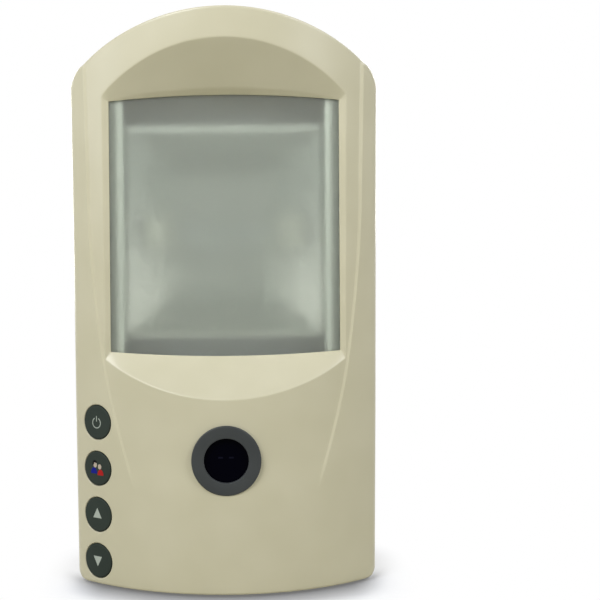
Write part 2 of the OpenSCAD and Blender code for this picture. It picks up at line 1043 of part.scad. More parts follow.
// Screws through the reflector's floor into the bracket's feet, and from the chassis plate behind
module bracket_screws() {
    color("silver")
        for (x = [-1, 1])
            translate([x * foot_x, 0, lamp_mid]) {
                translate([0, tray_y, 0])
                    screw(bracket_screw_len);
                translate([0, chassis_y + sheet_t, 0])
                    rotate([0, 0, 180])
                        screw(bracket_screw_len);
            }
}

module lamp_socket() {
    color("#ece8dc")
        difference() {
            slab(
                [arm_x - socket_len, lamp_y - socket_w / 2, lamp_mid - socket_w / 2],
                [arm_x, lamp_y + socket_w / 2, lamp_mid + socket_w / 2]
            );
            translate([0, lamp_y, lamp_mid])
                rotate([0, 90, 0])
                    cylinder(r = cap_r + snug, h = lamp_len / 2 + snug);
        }
}

module lamp_socket_right() {
    lamp_socket();
}

module lamp_socket_left() {
    mirror([1, 0, 0])
        lamp_socket();
}

module quartz_lamp() {
    tube = lamp_len - 2 * cap_len;
    neck_r = 0.6 * tube_r;
    color("#dfe6e8", 0.5)
        translate([0, lamp_y, lamp_mid])
            rotate([0, 90, 0]) {
                cylinder(r = tube_r, h = tube - tube_r, center = true);
                cylinder(r = neck_r, h = tube, center = true);
                for (side = [-1, 1])
                    translate([0, 0, side * (tube - tube_r) / 2])
                        cylinder(
                            r1 = side > 0 ? tube_r : neck_r,
                            r2 = side > 0 ? neck_r : tube_r,
                            h = tube_r,
                            center = true
                        );
            }
}

module lamp_caps() {
    color("#efece2")
        both_sides()
            translate([lamp_len / 2 - cap_len, lamp_y, lamp_mid])
                rotate([0, 90, 0])
                    cylinder(r = cap_r, h = cap_len);
}

module thermal_cutout() {
    color("#8d8f90")
        translate([0, 0, lamp_mid + floor_h / 2 - cutout_r - 2]) {
            rod(cutout_r, bracket_y, bracket_y + cutout_t);
            for (x = [-1, 1])
                translate([x * cutout_r / 2 - cutout_tab.x / 2, bracket_y + cutout_t, -cutout_tab.z / 2])
                    translate([0, -cutout_tab.y / 4, 0])
                        cube(cutout_tab);
        }
}

module chassis_plate() {
    color("#8a8f92")
        difference() {
            slab(
                [-chassis_half, chassis_y, chassis_low],
                [chassis_half, chassis_y + sheet_t, chassis_top]
            );
            at_chassis_posts()
                rod(clear_r, chassis_y - over, chassis_y + sheet_t + over);
            for (x = [-1, 1])
                translate([x * foot_x, 0, lamp_mid])
                    rod(clear_r, chassis_y - over, chassis_y + sheet_t + over);
            for (z = [-1, 1])
                translate([0, 0, lamp_mid + z * vent_z])
                    slab(
                        [-floor_w / 2, chassis_y - over, -vent_h / 2],
                        [floor_w / 2, chassis_y + sheet_t + over, vent_h / 2]
                    );
        }
}

module chassis_screws() {
    color("silver")
        at_chassis_posts()
            translate([0, chassis_y + sheet_t, 0])
                rotate([0, 0, 180])
                    screw(sheet_t + chassis_screw_len - over);
}

// Level sheet between the lamp and the electronics, with an upright lip on the chassis plate
module heat_shield() {
    color("#a4a8a9")
        difference() {
            union() {
                slab(
                    [-shield_half, shield_y, chassis_low],
                    [shield_half, chassis_y, chassis_low + sheet_t]
                );
                slab(
                    [-shield_half, chassis_y - sheet_t, chassis_low],
                    [shield_half, chassis_y, chassis_low + shield_lip]
                );
            }
            for (k = [0:shield_slots - 1])
                translate([(k - (shield_slots - 1) / 2) * shield_pitch, shield_slot_y, chassis_low])
                    slab(
                        [-shield_slot.x / 2, 0, -over],
                        [shield_slot.x / 2, shield_slot.y, sheet_t + over]
                    );
        }
}

// Ring with a face outside the front, a spigot through it and a step that holds the lens
module display_bezel() {
    color("#454747")
        translate([0, 0, display_z])
            difference() {
                union() {
                    rod(bezel_r, bezel_y + bezel_edge, bezel_seat_y);
                    translate([0, bezel_y + bezel_edge, 0])
                        rotate([90, 0, 0])
                            cylinder(r1 = bezel_r, r2 = bezel_r - bezel_edge, h = bezel_edge);
                    rod(spigot_r, bezel_seat_y - over, spigot_end_y);
                }
                rod(disc_r, bezel_y - over, spigot_end_y + over);
                rod(disc_r + lens_lap, lens_y, spigot_end_y + over);
            }
}

module bezel_clip() {
    color("silver")
        translate([0, 0, display_z])
            difference() {
                rod(clip_r, boss_back_y, boss_back_y + clip_t);
                rod(spigot_r + snug, boss_back_y - over, boss_back_y + clip_t + over);
            }
}

module display_lens() {
    color("#0b0b0e")
        translate([0, 0, display_z])
            rod(disc_r + lens_lap - snug, lens_y, lens_y + lens_t);
}

module display_module() {
    color("#202022")
        slab(
            [-module_w / 2, control_y - module_d, display_z - module_h / 2],
            [module_w / 2, control_y, display_z + module_h / 2]
        );
}

module control_board() {
    color("#2f6b3c")
        difference() {
            slab(
                [-control_w / 2, control_y, display_z - control_h / 2],
                [control_w / 2, control_y + board_t, display_z + control_h / 2]
            );
            at_control_corners()
                rod(clear_r, control_y - over, control_y + board_t + over);
        }
}

module control_board_screws() {
    color("silver")
        at_control_corners()
            translate([0, control_y + board_t, 0])
                rotate([0, 0, 180])
                    screw(board_t + board_screw_len - over);
}

// Cap flush with the bow, two lugs behind the collar and a short stem on the switch
module push_button(i) {
    color("#3b413e")
        union() {
            intersection() {
                at_buttons()
                    translate([0, 0, button_z(i)])
                        rod(button_r, -wall, lug_end);
                bow(button_proud);
            }
            at_buttons()
                translate([0, 0, button_z(i)]) {
                    intersection() {
                        rod(collar_r - ease, collar_len + ease, lug_end);
                        slab([-2 * button_r, 0, -lug_w / 2], [2 * button_r, lug_end, lug_w / 2]);
                    }
                    rod(stem_r, lug_end - over, switch_y - plunger_out);
                }
        }
}

module plunger(i) {
    color("#202020")
        at_buttons()
            translate([0, 0, button_z(i)])
                rod(plunger_r, switch_y - plunger_out, switch_y + plunger_in);
}

module power_button() {
    push_button(3);
}

module user_button() {
    push_button(2);
}

module up_button() {
    push_button(1);
}

module down_button() {
    push_button(0);
}

module power_plunger() {
    plunger(3);
}

module user_plunger() {
    plunger(2);
}

module up_plunger() {
    plunger(1);
}

module down_plunger() {
    plunger(0);
}

module button_board() {
    color("#2f6b3c")
        at_buttons()
            difference() {
                slab(
                    [-button_board_w / 2, button_board_y, button_z(0) - button_board_end],
                    [button_board_w / 2, button_board_y + board_t, button_z(3) + button_board_end]
                );
                for (i = board_post_i)
                    translate([0, 0, button_z(i)])
                        rod(clear_r, button_board_y - over, button_board_y + board_t + over);
            }
}

module button_switches() {
    color("#26282a")
        at_each_button()
            difference() {
                slab(
                    [-switch_w / 2, switch_y, -switch_w / 2],
                    [switch_w / 2, button_board_y, switch_w / 2]
                );
                rod(plunger_r + snug, switch_y - over, switch_y + plunger_in + button_travel + loose);
            }
}

module button_board_screws() {
    color("silver")
        at_buttons()
            for (i = board_post_i)
                translate([0, button_board_y + board_t, button_z(i)])
                    rotate([0, 0, 180])
                        screw(board_t + board_screw_len - over);
}

// Laminated core with two window slots either side of its middle limb, and two mounting ears
module ballast_core() {
    color("#55585a")
        translate([ballast_x, core_y, ballast_z])
            difference() {
                union() {
                    slab([-core_w / 2, -core_d / 2, -core_h / 2], [core_w / 2, core_d / 2, core_h / 2]);
                    slab(
                        [-core_w / 2 - ear_w, core_d / 2 - ear_t, -stand_r - 2],
                        [core_w / 2 + ear_w, core_d / 2, stand_r + 2]
                    );
                }
                both_sides() {
                    slab([limb_w / 2, -core_d, -slot_h / 2], [limb_w / 2 + slot_w, core_d, slot_h / 2]);
                    translate([ear_hole_x, 0, 0])
                        rod(clear_r, -core_d, core_d);
                }
            }
}

module ballast_coil() {
    half_x = limb_w / 2 + slot_w - loose;
    half_z = slot_h / 2 - loose;
    color("#a8622a")
        translate([ballast_x, core_y, ballast_z])
            difference() {
                slab([-half_x, -coil_d / 2, -half_z], [half_x, coil_d / 2, half_z]);
                slab(
                    [-limb_w / 2 - snug, -core_d / 2 - snug, -slot_h],
                    [limb_w / 2 + snug, core_d / 2 + snug, slot_h]
                );
            }
}

module ballast_screws() {
    color("silver")
        at_ballast_ears()
            translate([0, inner_back_y - stand_d - ear_t, 0])
                screw(ear_t + stand_d - over);
}

module power_board() {
    color("#2f6b3c")
        difference() {
            slab([power_x0, power_y, power_z0], [power_x1, power_y + board_t, power_z1]);
            at_power_corners()
                rod(clear_r, power_y - over, power_y + board_t + over);
        }
}

module power_board_screws() {
    color("silver")
        at_power_corners()
            translate([0, power_y, 0])
                screw(board_t + stand_d - over);
}

// A block on the power board, raised from it by lift
module on_board(size, lift = 0) {
    slab(
        [-size.x / 2, power_y - lift - size.y, -size.z / 2],
        [size.x / 2, power_y - lift, size.z / 2]
    );
}

module relay() {
    color("#2d4f8a")
        translate([power_x0 + relay_at.x, 0, power_z0 + relay_at.y])
            on_board(relay_size);
}

module capacitor() {
    color("#7d8486")
        translate([power_x1 - can_at.x, 0, power_z0 + can_at.y]) {
            rod(can_r, power_y - can_len, power_y);
            rod(can_r - can_edge, power_y - can_len - over, power_y - can_len + over);
        }
}

module supply_transformer() {
    color("#c9b24a")
        translate([power_x0 + supply_at.x, 0, power_z1 - supply_at.y]) {
            on_board(supply_core);
            on_board(supply_coil, supply_step);
        }
}

module fuse_holder() {
    color("#3a3a3a")
        translate([power_x1 - fuse_at.x, 0, power_z1 - fuse_at.y])
            difference() {
                on_board(fuse_size);
                on_board(fuse_trough, fuse_floor);
            }
}

module terminal_block() {
    color("#e6e2d4")
        translate([terminal_x, inner_back_y, terminal_z])
            difference() {
                slab(
                    [-terminal_size.x / 2, -terminal_size.y, -terminal_size.z / 2],
                    [terminal_size.x / 2, 0, terminal_size.z / 2]
                );
                for (k = [-1:1])
                    translate([0, 0, k * terminal_pitch]) {
                        rod(terminal_screw_r, -terminal_size.y - over, terminal_screw_d - terminal_size.y);
                        translate([0, -terminal_size.y / 3, 0])
                            rotate([0, 90, 0])
                                cylinder(r = terminal_wire_r, h = 2 * terminal_size.x, center = true);
                    }
            }
}

// Flanged bush let into the back wall
module cord_gland() {
    color("#1f1f1f")
        translate([gland_x, 0, gland_z])
            difference() {
                union() {
                    rod(gland_flange_r, back_y - gland_flange_t, back_y);
                    rod(gland_r, back_y - gland_len, back_y - over);
                }
                rod(gland_bore_r, back_y - gland_len - over, back_y + over);
            }
}

module gland_nut() {
    color("#2a2a2a")
        translate([gland_x, 0, gland_z])
            difference() {
                translate([0, back_y - gland_boss_t - gland_nut_t, 0])
                    rotate([-90, 0, 0])
                        cylinder(r = gland_nut_r, h = gland_nut_t, $fn = 6);
                rod(gland_r + snug, back_y - gland_boss_t - gland_nut_t - over, back_y);
            }
}

module fan_frame() {
    spider_w = 5;
    color("#232426")
        translate([0, 0, fan_z])
            difference() {
                union() {
                    difference() {
                        slab([-fan_w / 2, fan_y0, -fan_w / 2], [fan_w / 2, inner_back_y, fan_w / 2]);
                        rod(fan_bore_r, fan_y0 - over, inner_back_y + over);
                    }
                    rod(hub_r - over, inner_back_y - spider_t, inner_back_y);
                    for (a = [45, 135])
                        rotate([0, a, 0])
                            slab(
                                [-fan_bore_r - over, inner_back_y - spider_t, -spider_w / 2],
                                [fan_bore_r + over, inner_back_y, spider_w / 2]
                            );
                    rod(bearing_r, rotor_y0 + hub_wall + loose, inner_back_y - over);
                }
                rod(shaft_r + snug, fan_y0 - over, inner_back_y - over);
                for (x = [-1, 1], z = [-1, 1])
                    translate([x * fan_pitch / 2, 0, z * fan_pitch / 2])
                        rod(pilot_r, fan_y0 - over, inner_back_y + over);
            }
}

// Cup-shaped hub on its shaft, with pitched blades trimmed to the bore
module fan_rotor() {
    tip_r = fan_bore_r - tip_gap;
    color("#303236")
        translate([0, 0, fan_z])
            union() {
                difference() {
                    rod(hub_r, rotor_y0, hub_y1);
                    rod(hub_r - hub_wall, rotor_y0 + hub_wall, hub_y1 + over);
                }
                rod(shaft_r, rotor_y0 + over, inner_back_y - spider_t);
                intersection() {
                    difference() {
                        rod(tip_r, rotor_y0, hub_y1);
                        rod(hub_r - over, rotor_y0 - over, hub_y1 + over);
                    }
                    for (k = [0:blade_count - 1])
                        rotate([0, k * 360 / blade_count, 0])
                            translate([0, (rotor_y0 + hub_y1) / 2, 0])
                                rotate([blade_pitch, 0, 0])
                                    slab([hub_r - 2, -fan_d, -blade_t / 2], [fan_w, fan_d, blade_t / 2]);
                }
            }
}

module fan_screws() {
    color("silver")
        at_fan_corners()
            translate([0, back_y - sink_d + ease, 0])
                rotate([0, 0, 180])
                    screw(fan_screw_len);
}

front_shell();
rear_cover();
case_screws();
rubber_feet();
filter_glass();
glass_gasket();
glass_rail_left();
glass_rail_right();
rail_screws();
reflector();
lamp_bracket();
bracket_screws();
lamp_socket_left();
lamp_socket_right();
quartz_lamp();
lamp_caps();
thermal_cutout();
chassis_plate();
chassis_screws();
heat_shield();
display_bezel();
bezel_clip();
display_lens();
display_module();
control_board();
control_board_screws();
power_button();
user_button();
up_button();
down_button();
power_plunger();
user_plunger();
up_plunger();
down_plunger();
button_board();
button_switches();
button_board_screws();
ballast_core();
ballast_coil();
ballast_screws();
power_board();
power_board_screws();
relay();
capacitor();
supply_transformer();
fuse_holder();
terminal_block();
cord_gland();
gland_nut();
fan_frame();
fan_rotor();
fan_screws();
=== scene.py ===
import bmesh
import bpy
import numpy as np
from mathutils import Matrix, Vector


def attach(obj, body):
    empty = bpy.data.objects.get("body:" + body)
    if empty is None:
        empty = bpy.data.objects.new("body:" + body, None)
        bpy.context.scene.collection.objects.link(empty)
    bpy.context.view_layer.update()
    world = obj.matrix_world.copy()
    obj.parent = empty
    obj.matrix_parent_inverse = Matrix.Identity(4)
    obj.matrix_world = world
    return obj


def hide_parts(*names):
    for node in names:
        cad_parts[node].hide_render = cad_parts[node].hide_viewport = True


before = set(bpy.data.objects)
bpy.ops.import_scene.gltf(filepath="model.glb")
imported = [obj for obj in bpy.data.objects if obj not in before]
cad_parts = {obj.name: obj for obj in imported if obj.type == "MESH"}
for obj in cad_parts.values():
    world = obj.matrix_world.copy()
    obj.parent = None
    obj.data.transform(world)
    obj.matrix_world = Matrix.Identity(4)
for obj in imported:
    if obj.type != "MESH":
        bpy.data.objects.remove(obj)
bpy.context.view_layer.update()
scene = bpy.context.scene
mm = 0.001


def linearColor(hexText):  # sRGB hex to linear, opaque
    c = np.array([int(hexText[i:i + 2], 16) for i in (1, 3, 5)]) / 255
    c = np.where(c <= 0.04045, c / 12.92, ((c + 0.055) / 1.055) ** 2.4)
    return (*c.tolist(), 1.0)


# adds one node: sockets get a value or a link, everything else is a setting
def addNode(tree, kind, sockets=None, **settings):
    node = tree.nodes.new("ShaderNode" + kind)
    for key, value in settings.items():
        setattr(node, key, value)
    for key, value in (sockets or {}).items():
        if isinstance(value, bpy.types.NodeSocket):
            tree.links.new(value, node.inputs[key])
        else:
            node.inputs[key].default_value = value
    return node


# an empty material, its tree and the Object coordinates that its patterns read
def newMaterial(name):
    material = bpy.data.materials.new(name)
    material.use_nodes = True
    tree = material.node_tree
    tree.nodes.clear()
    place = addNode(tree, "TexCoord").outputs["Object"]
    return material, tree, place


def closeMaterial(tree, sockets):
    shader = addNode(tree, "BsdfPrincipled", sockets)
    addNode(tree, "OutputMaterial", {"Surface": shader.outputs[0]})


# noise values between which a pattern runs, size of the tint's clouds in grains, strength of the bump
grain = dict(low=0.3, high=0.7, clouds=40, bump=0.6)


# grain of a real size: one swell is about sizeMm across and gives roughness and bump; broad clouds shift the tint
def grainedMaterial(name, colors, rough, sizeMm, bumpMm, sockets=None, stretch=None):
    material, tree, place = newMaterial(name)
    if stretch:
        place = addNode(tree, "Mapping", {"Vector": place, "Scale": stretch}).outputs[0]
    noise = addNode(tree, "TexNoise", {"Vector": place, "Scale": 1 / (sizeMm * mm), "Detail": 2.0})
    cloudMm = grain["clouds"] * sizeMm
    clouds = addNode(tree, "TexNoise", {"Vector": place, "Scale": 1 / (cloudMm * mm), "Detail": 1.0})
    tint = addNode(tree, "ValToRGB", {"Fac": clouds.outputs["Fac"]})
    for end, position, color in zip(tint.color_ramp.elements, (grain["low"], grain["high"]), colors):
        end.position = position
        end.color = linearColor(color)
    sheen = addNode(tree, "MapRange", {"Value": noise.outputs["Fac"], "From Min": grain["low"],
                                       "From Max": grain["high"], "To Min": rough[0], "To Max": rough[1]})
    bump = addNode(tree, "Bump", {"Height": noise.outputs["Fac"], "Distance": bumpMm * mm,
                                  "Strength": grain["bump"]})
    closeMaterial(tree, {"Base Color": tint.outputs[0], "Roughness": sheen.outputs[0],
                         "Normal": bump.outputs[0], **(sockets or {})})
    return material


# moulded ABS: cream with a spark-eroded satin grain, 0.8 mm so that it shows; gives a soft broad highlight
mouldedAbs = grainedMaterial("mouldedAbs", ("#c8c2a5", "#ccc6aa"), (0.28, 0.33), 0.8, 0.005, {"IOR": 1.53})
# the same ABS behind, a little duller
backAbs = grainedMaterial("backAbs", ("#c8c2a4", "#cdc7aa"), (0.4, 0.48), 0.8, 0.01, {"IOR": 1.53})
# moulded silicone rubber: soft dark grey keys, almost no highlight
siliconeKey = grainedMaterial("siliconeKey", ("#2d352f", "#323a34"), (0.56, 0.66), 0.7, 0.01,
                              {"IOR": 1.41, "Specular IOR Level": 0.2})
# pad-printed ink: pale grey, blue, red, skin and dark, flat and dull; all share roughness, grain and bump
ink = ((0.5, 0.6), 0.5, 0.004)
dullInk = {"Specular IOR Level": 0.1}
greyInk = grainedMaterial("greyInk", ("#a4aca3", "#adb5ab"), *ink)
blueInk = grainedMaterial("blueInk", ("#11177a", "#161d86"), *ink, dullInk)
redInk = grainedMaterial("redInk", ("#a81d1d", "#b32424"), *ink, dullInk)
skinInk = grainedMaterial("skinInk", ("#b5a898", "#bfb2a2"), *ink, dullInk)
darkInk = grainedMaterial("darkInk", ("#060707", "#0a0b0b"), *ink, dullInk)
# moulded polycarbonate bezel: dark grey, fine satin
satinBezel = grainedMaterial("satinBezel", ("#373a3a", "#3c3f3f"), (0.42, 0.5), 0.6, 0.008,
                             {"IOR": 1.58, "Specular IOR Level": 0.2})
# smoked acrylic: black and mirror smooth, with only a faint reflection
smokedAcrylic = grainedMaterial("smokedAcrylic", ("#010108", "#02020c"), (0.05, 0.08), 3.0, 0.0005,
                                {"IOR": 1.49, "Specular IOR Level": 0.015})
# unlit display segments, as dim as they look through the smoked acrylic
dimSegment = grainedMaterial("dimSegment", ("#0a0a16", "#0d0d1c"), (0.5, 0.6), 0.5, 0.001,
                             {"Specular IOR Level": 0.05})


# pane behind the window, in mm: its faces, how far it laps behind the shell, its grid, edges that stay sharp
pane = dict(front=-35.15, back=-32.4, lap=3.0, cols=41, rows=25, sharpAt=40)
# its finish: size of the etched pits, roughness of the etched and the polished face, share of haze, depth of
# each face's finish
frost = dict(pitMm=1.2, etched=(0.64, 0.74), polished=0.08, haze=0.16, skinMm=0.5)


# frosted filter glass: faintly green; its outer face is etched and hazy, so that what is behind it blurs
def makeFrostedGlass():
    material, tree, place = newMaterial("frostedFilterGlass")
    noise = addNode(tree, "TexNoise", {"Vector": place, "Scale": 1 / (frost["pitMm"] * mm), "Detail": 2.0})
    least, most = frost["etched"]
    etched = addNode(tree, "MapRange", {"Value": noise.outputs["Fac"], "To Min": least, "To Max": most})
    depth = addNode(tree, "SeparateXYZ", {"Vector": place}).outputs["Y"]
    faces = {"Value": depth, "From Min": (pane["front"] + frost["skinMm"]) * mm,
             "From Max": (pane["back"] - frost["skinMm"]) * mm}
    rough = addNode(tree, "MapRange", {**faces, "To Min": etched.outputs[0], "To Max": frost["polished"]})
    cloud = addNode(tree, "MapRange", {**faces, "To Min": frost["haze"], "To Max": 0.0})
    clear = addNode(tree, "BsdfPrincipled", {"Base Color": linearColor("#fafdf6"), "Roughness": rough.outputs[0],
                                             "Transmission Weight": 1.0, "IOR": 1.45})
    haze = addNode(tree, "BsdfDiffuse", {"Color": linearColor("#c9cdbf")})
    mix = addNode(tree, "MixShader", {"Fac": cloud.outputs[0], 1: clear.outputs[0], 2: haze.outputs[0]})
    addNode(tree, "OutputMaterial", {"Surface": mix.outputs[0]})
    return material


frostedGlass = makeFrostedGlass()

# rails in mm: streaks and their stretch along the strip, where the painted highlight on the edge ends and the
# painted shade on the flange begins
rail = dict(streakMm=0.5, stretch=(1, 1, 0.04), flange=(77.0, 81.5), rough=(0.34, 0.46), bumpMm=0.004)


# rolled aluminium: streaks along the strip; its edge is painted pale as a highlight, the flange beyond painted
# dark as shade
def makeRailSheet():
    material, tree, place = newMaterial("rolledAluminium")
    along = addNode(tree, "Mapping", {"Vector": place, "Scale": rail["stretch"]})
    noise = addNode(tree, "TexNoise", {"Vector": along.outputs[0], "Scale": 1 / (rail["streakMm"] * mm),
                                       "Detail": 2.0})
    spot = addNode(tree, "SeparateXYZ", {"Vector": place})
    out = addNode(tree, "Math", {0: spot.outputs["X"]}, operation="ABSOLUTE")
    start, full = rail["flange"]
    flange = addNode(tree, "MapRange", {"Value": out.outputs[0], "From Min": start * mm, "From Max": full * mm})
    # painted highlight on the rolled edge, fading to painted shade on the flange beside the glass
    tint = addNode(tree, "MixRGB", {"Fac": flange.outputs[0], "Color1": linearColor("#c4c8c2"),
                                    "Color2": linearColor("#6f736c")})
    least, most = rail["rough"]
    rough = addNode(tree, "MapRange", {"Value": noise.outputs["Fac"], "To Min": least, "To Max": most})
    bump = addNode(tree, "Bump", {"Height": noise.outputs["Fac"], "Distance": rail["bumpMm"] * mm,
                                  "Strength": grain["bump"]})
    closeMaterial(tree, {"Base Color": tint.outputs[0], "Roughness": rough.outputs[0], "Metallic": 1.0,
                         "Normal": bump.outputs[0]})
    return material


rolledAluminium = makeRailSheet()

# reflector tray in mm: half-width and depth of its mouth, its floor, how much its cheeks close in per mm of
# depth; then how far before a cheek its polish and painted reflection start and are full, how far before the
# floor its painted shade does, and over which heights and half-widths the painted reflection and shade run
tray = dict(mouthHalf=73.5, mouthY=-21.2, floorY=16.8, slope=37.5 / 38,
            cheekSkin=(0.9, 0.3), floorSkin=(0.6, 0.1), heights=(200, 300), halves=(32, 54),
            rough=(0.42, 0.12), dentMm=9, bumpMm=0.03, bump=0.5)


# aluminium reflector sheet: side cheeks polished, with a painted reflection brightest low down by the mouth;
# floor and the other walls dull, with painted shade that lightens higher up and is darkest on the floor; a point
# is on a cheek when |x| + slope * depth reaches the mouth's half-width
def makeReflectorSheet():
    material, tree, place = newMaterial("reflectorSheet")
    noise = addNode(tree, "TexNoise", {"Vector": place, "Scale": 1 / (tray["dentMm"] * mm), "Detail": 2.0})
    spot = addNode(tree, "SeparateXYZ", {"Vector": place})
    side = addNode(tree, "Math", {0: spot.outputs["X"]}, operation="ABSOLUTE")
    out = addNode(tree, "Math", {0: spot.outputs["Y"], 1: tray["slope"], 2: side.outputs[0]},
                  operation="MULTIPLY_ADD")
    edge = tray["mouthHalf"] + tray["slope"] * tray["mouthY"]
    start, full = tray["cheekSkin"]
    cheek = addNode(tree, "MapRange", {"Value": out.outputs[0], "From Min": (edge - start) * mm,
                                       "From Max": (edge - full) * mm})
    start, full = tray["floorSkin"]
    deep = addNode(tree, "MapRange", {"Value": spot.outputs["Y"], "From Min": (tray["floorY"] - start) * mm,
                                      "From Max": (tray["floorY"] - full) * mm})
    start, full = tray["halves"]
    inner = addNode(tree, "MapRange", {"Value": side.outputs[0], "From Min": start * mm, "From Max": full * mm,
                                       "To Min": 1.0, "To Max": 0.0})
    start, full = tray["heights"]
    height = {"Value": spot.outputs["Z"], "From Min": start * mm, "From Max": full * mm}
    risen = addNode(tree, "MapRange", height)
    fade = addNode(tree, "MapRange", {**height, "To Min": inner.outputs[0]})
    # painted reflection on the cheeks: brightest low down and outwards by the mouth, greyer higher up and inwards
    paintedCheekReflection = addNode(tree, "MixRGB", {"Fac": fade.outputs[0], "Color1": linearColor("#fdfdfb"),
                                      "Color2": linearColor("#c0c4c1")})
    # painted light and shade on the other walls, lighter higher up, with painted shade darkest on the floor
    wall = addNode(tree, "MixRGB", {"Fac": risen.outputs[0], "Color1": linearColor("#a3a6a0"),
                                    "Color2": linearColor("#c6cac6")})
    paintedShadeWalls = addNode(tree, "MixRGB", {"Fac": deep.outputs[0], "Color1": wall.outputs[0],
                                    "Color2": linearColor("#939793")})
    tint = addNode(tree, "MixRGB", {"Fac": cheek.outputs[0], "Color1": paintedShadeWalls.outputs[0],
                                    "Color2": paintedCheekReflection.outputs[0]})
    dullRough, cheekRough = tray["rough"]
    rough = addNode(tree, "MapRange", {"Value": cheek.outputs[0], "To Min": dullRough, "To Max": cheekRough})
    bump = addNode(tree, "Bump", {"Height": noise.outputs["Fac"], "Distance": tray["bumpMm"] * mm,
                                  "Strength": tray["bump"]})
    closeMaterial(tree, {"Base Color": tint.outputs[0], "Roughness": rough.outputs[0], "Metallic": 1.0,
                         "Normal": bump.outputs[0]})
    return material


reflectorSheet = makeReflectorSheet()
# zinc-plated steel sheet: cool grey with a cloudy spangle
zincSteel = grainedMaterial("zincSteel", ("#a9adb0", "#b6babc"), (0.34, 0.46), 6.0, 0.006, {"Metallic": 1.0})
# plated screw steel: paler and brighter, fine-grained
screwSteel = grainedMaterial("screwSteel", ("#b4b7b8", "#c0c2c3"), (0.28, 0.38), 0.6, 0.004, {"Metallic": 1.0})
# laminated silicon steel: dull edges of the sheets
coreSteel = grainedMaterial("coreSteel", ("#55595b", "#62666a"), (0.5, 0.62), 0.5, 0.05,
                            {"Metallic": 1.0}, (0.02, 1, 0.02))
# enamelled copper winding: reddish, varnished, wire by wire
copperWinding = grainedMaterial("copperWinding", ("#8f4a22", "#a65a2c"), (0.26, 0.36), 0.9, 0.2,
                                {"Metallic": 0.85, "Coat Weight": 0.4}, (0.03, 1, 0.03))
# steatite: unglazed lamp ceramic, grey-white and chalky
steatite = grainedMaterial("steatite", ("#a1a39b", "#a9aba3"), (0.62, 0.74), 0.6, 0.02)
# fused quartz: clear and smooth
quartzGlass = grainedMaterial("quartzGlass", ("#f3f6f7", "#f8fafa"), (0.02, 0.05), 8.0, 0.001,
                              {"Transmission Weight": 1.0, "IOR": 1.458})
# extruded silicone strip: milky, with a soft highlight
siliconeStrip = grainedMaterial("siliconeStrip", ("#cfcfc5", "#d8d8cf"), (0.5, 0.6), 0.8, 0.01)
# solder mask over glass-fibre board: green, with the weave showing faintly
solderMask = grainedMaterial("solderMask", ("#1f5a32", "#27683b"), (0.3, 0.4), 0.9, 0.02, {"Coat Weight": 0.3})
# moulded polyamide and PBT: black, satin
blackNylon = grainedMaterial("blackNylon", ("#232527", "#2a2c2e"), (0.42, 0.54), 0.7, 0.012)
fanPbt = grainedMaterial("fanPbt", ("#202224", "#27292c"), (0.46, 0.58), 0.9, 0.015)
# moulded EPDM rubber: black and dull
epdmRubber = grainedMaterial("epdmRubber", ("#1c1c1c", "#242424"), (0.68, 0.8), 0.8, 0.02)
# moulded relay cover: blue, a little glossy
blueCover = grainedMaterial("blueCover", ("#284a86", "#305493"), (0.3, 0.4), 0.8, 0.006)
# drawn aluminium can: bright, with streaks along its length
drawnCan = grainedMaterial("drawnCan", ("#aeb3b5", "#b9bdbf"), (0.3, 0.4), 0.5, 0.006,
                           {"Metallic": 1.0}, (1, 0.04, 1))
# moulded nylon terminal strip: cream, satin
creamNylon = grainedMaterial("creamNylon", ("#dcd7c6", "#e5e1d2"), (0.42, 0.54), 0.8, 0.01)
# polyester tape round a transformer: yellow, slightly creased
yellowTape = grainedMaterial("yellowTape", ("#bfa53f", "#cbb14a"), (0.34, 0.44), 1.2, 0.02)
print("materials made")


# quads between neighbouring rows and columns of a grid of points, as index rows
def gridFaces(rows, cols, closed=False, start=0):
    i = np.arange(rows * cols).reshape(rows, cols) + start
    if closed:
        i = np.concatenate([i, i[:, :1]], axis=1)
    return np.stack([i[:-1, :-1], i[:-1, 1:], i[1:, 1:], i[1:, :-1]], axis=-1).reshape(-1, 4)


# several grids of points as one list of points and one of quads
def joinGrids(grids, closed=False):
    points, faces, count = [], [], 0
    for grid in grids:
        faces.append(gridFaces(*grid.shape[:2], closed, count))
        points.append(grid.reshape(-1, 3))
        count += len(points[-1])
    return np.concatenate(points), np.concatenate(faces)


# border of a grid as a ring of ids: along the first row, up, back along the last row and down
def borderRing(rows, cols):
    ids = np.arange(rows * cols).reshape(rows, cols)
    return np.concatenate([ids[0, :], ids[1:, -1], ids[-1, -2::-1], ids[-2:0:-1, 0]])


def fullTurn(count):  # angles of a closed ring
    return np.linspace(0, 2 * np.pi, count + 1)[:-1]


quarterTurn = np.radians(np.linspace(0, 90, 7))
mergeMm = 0.002


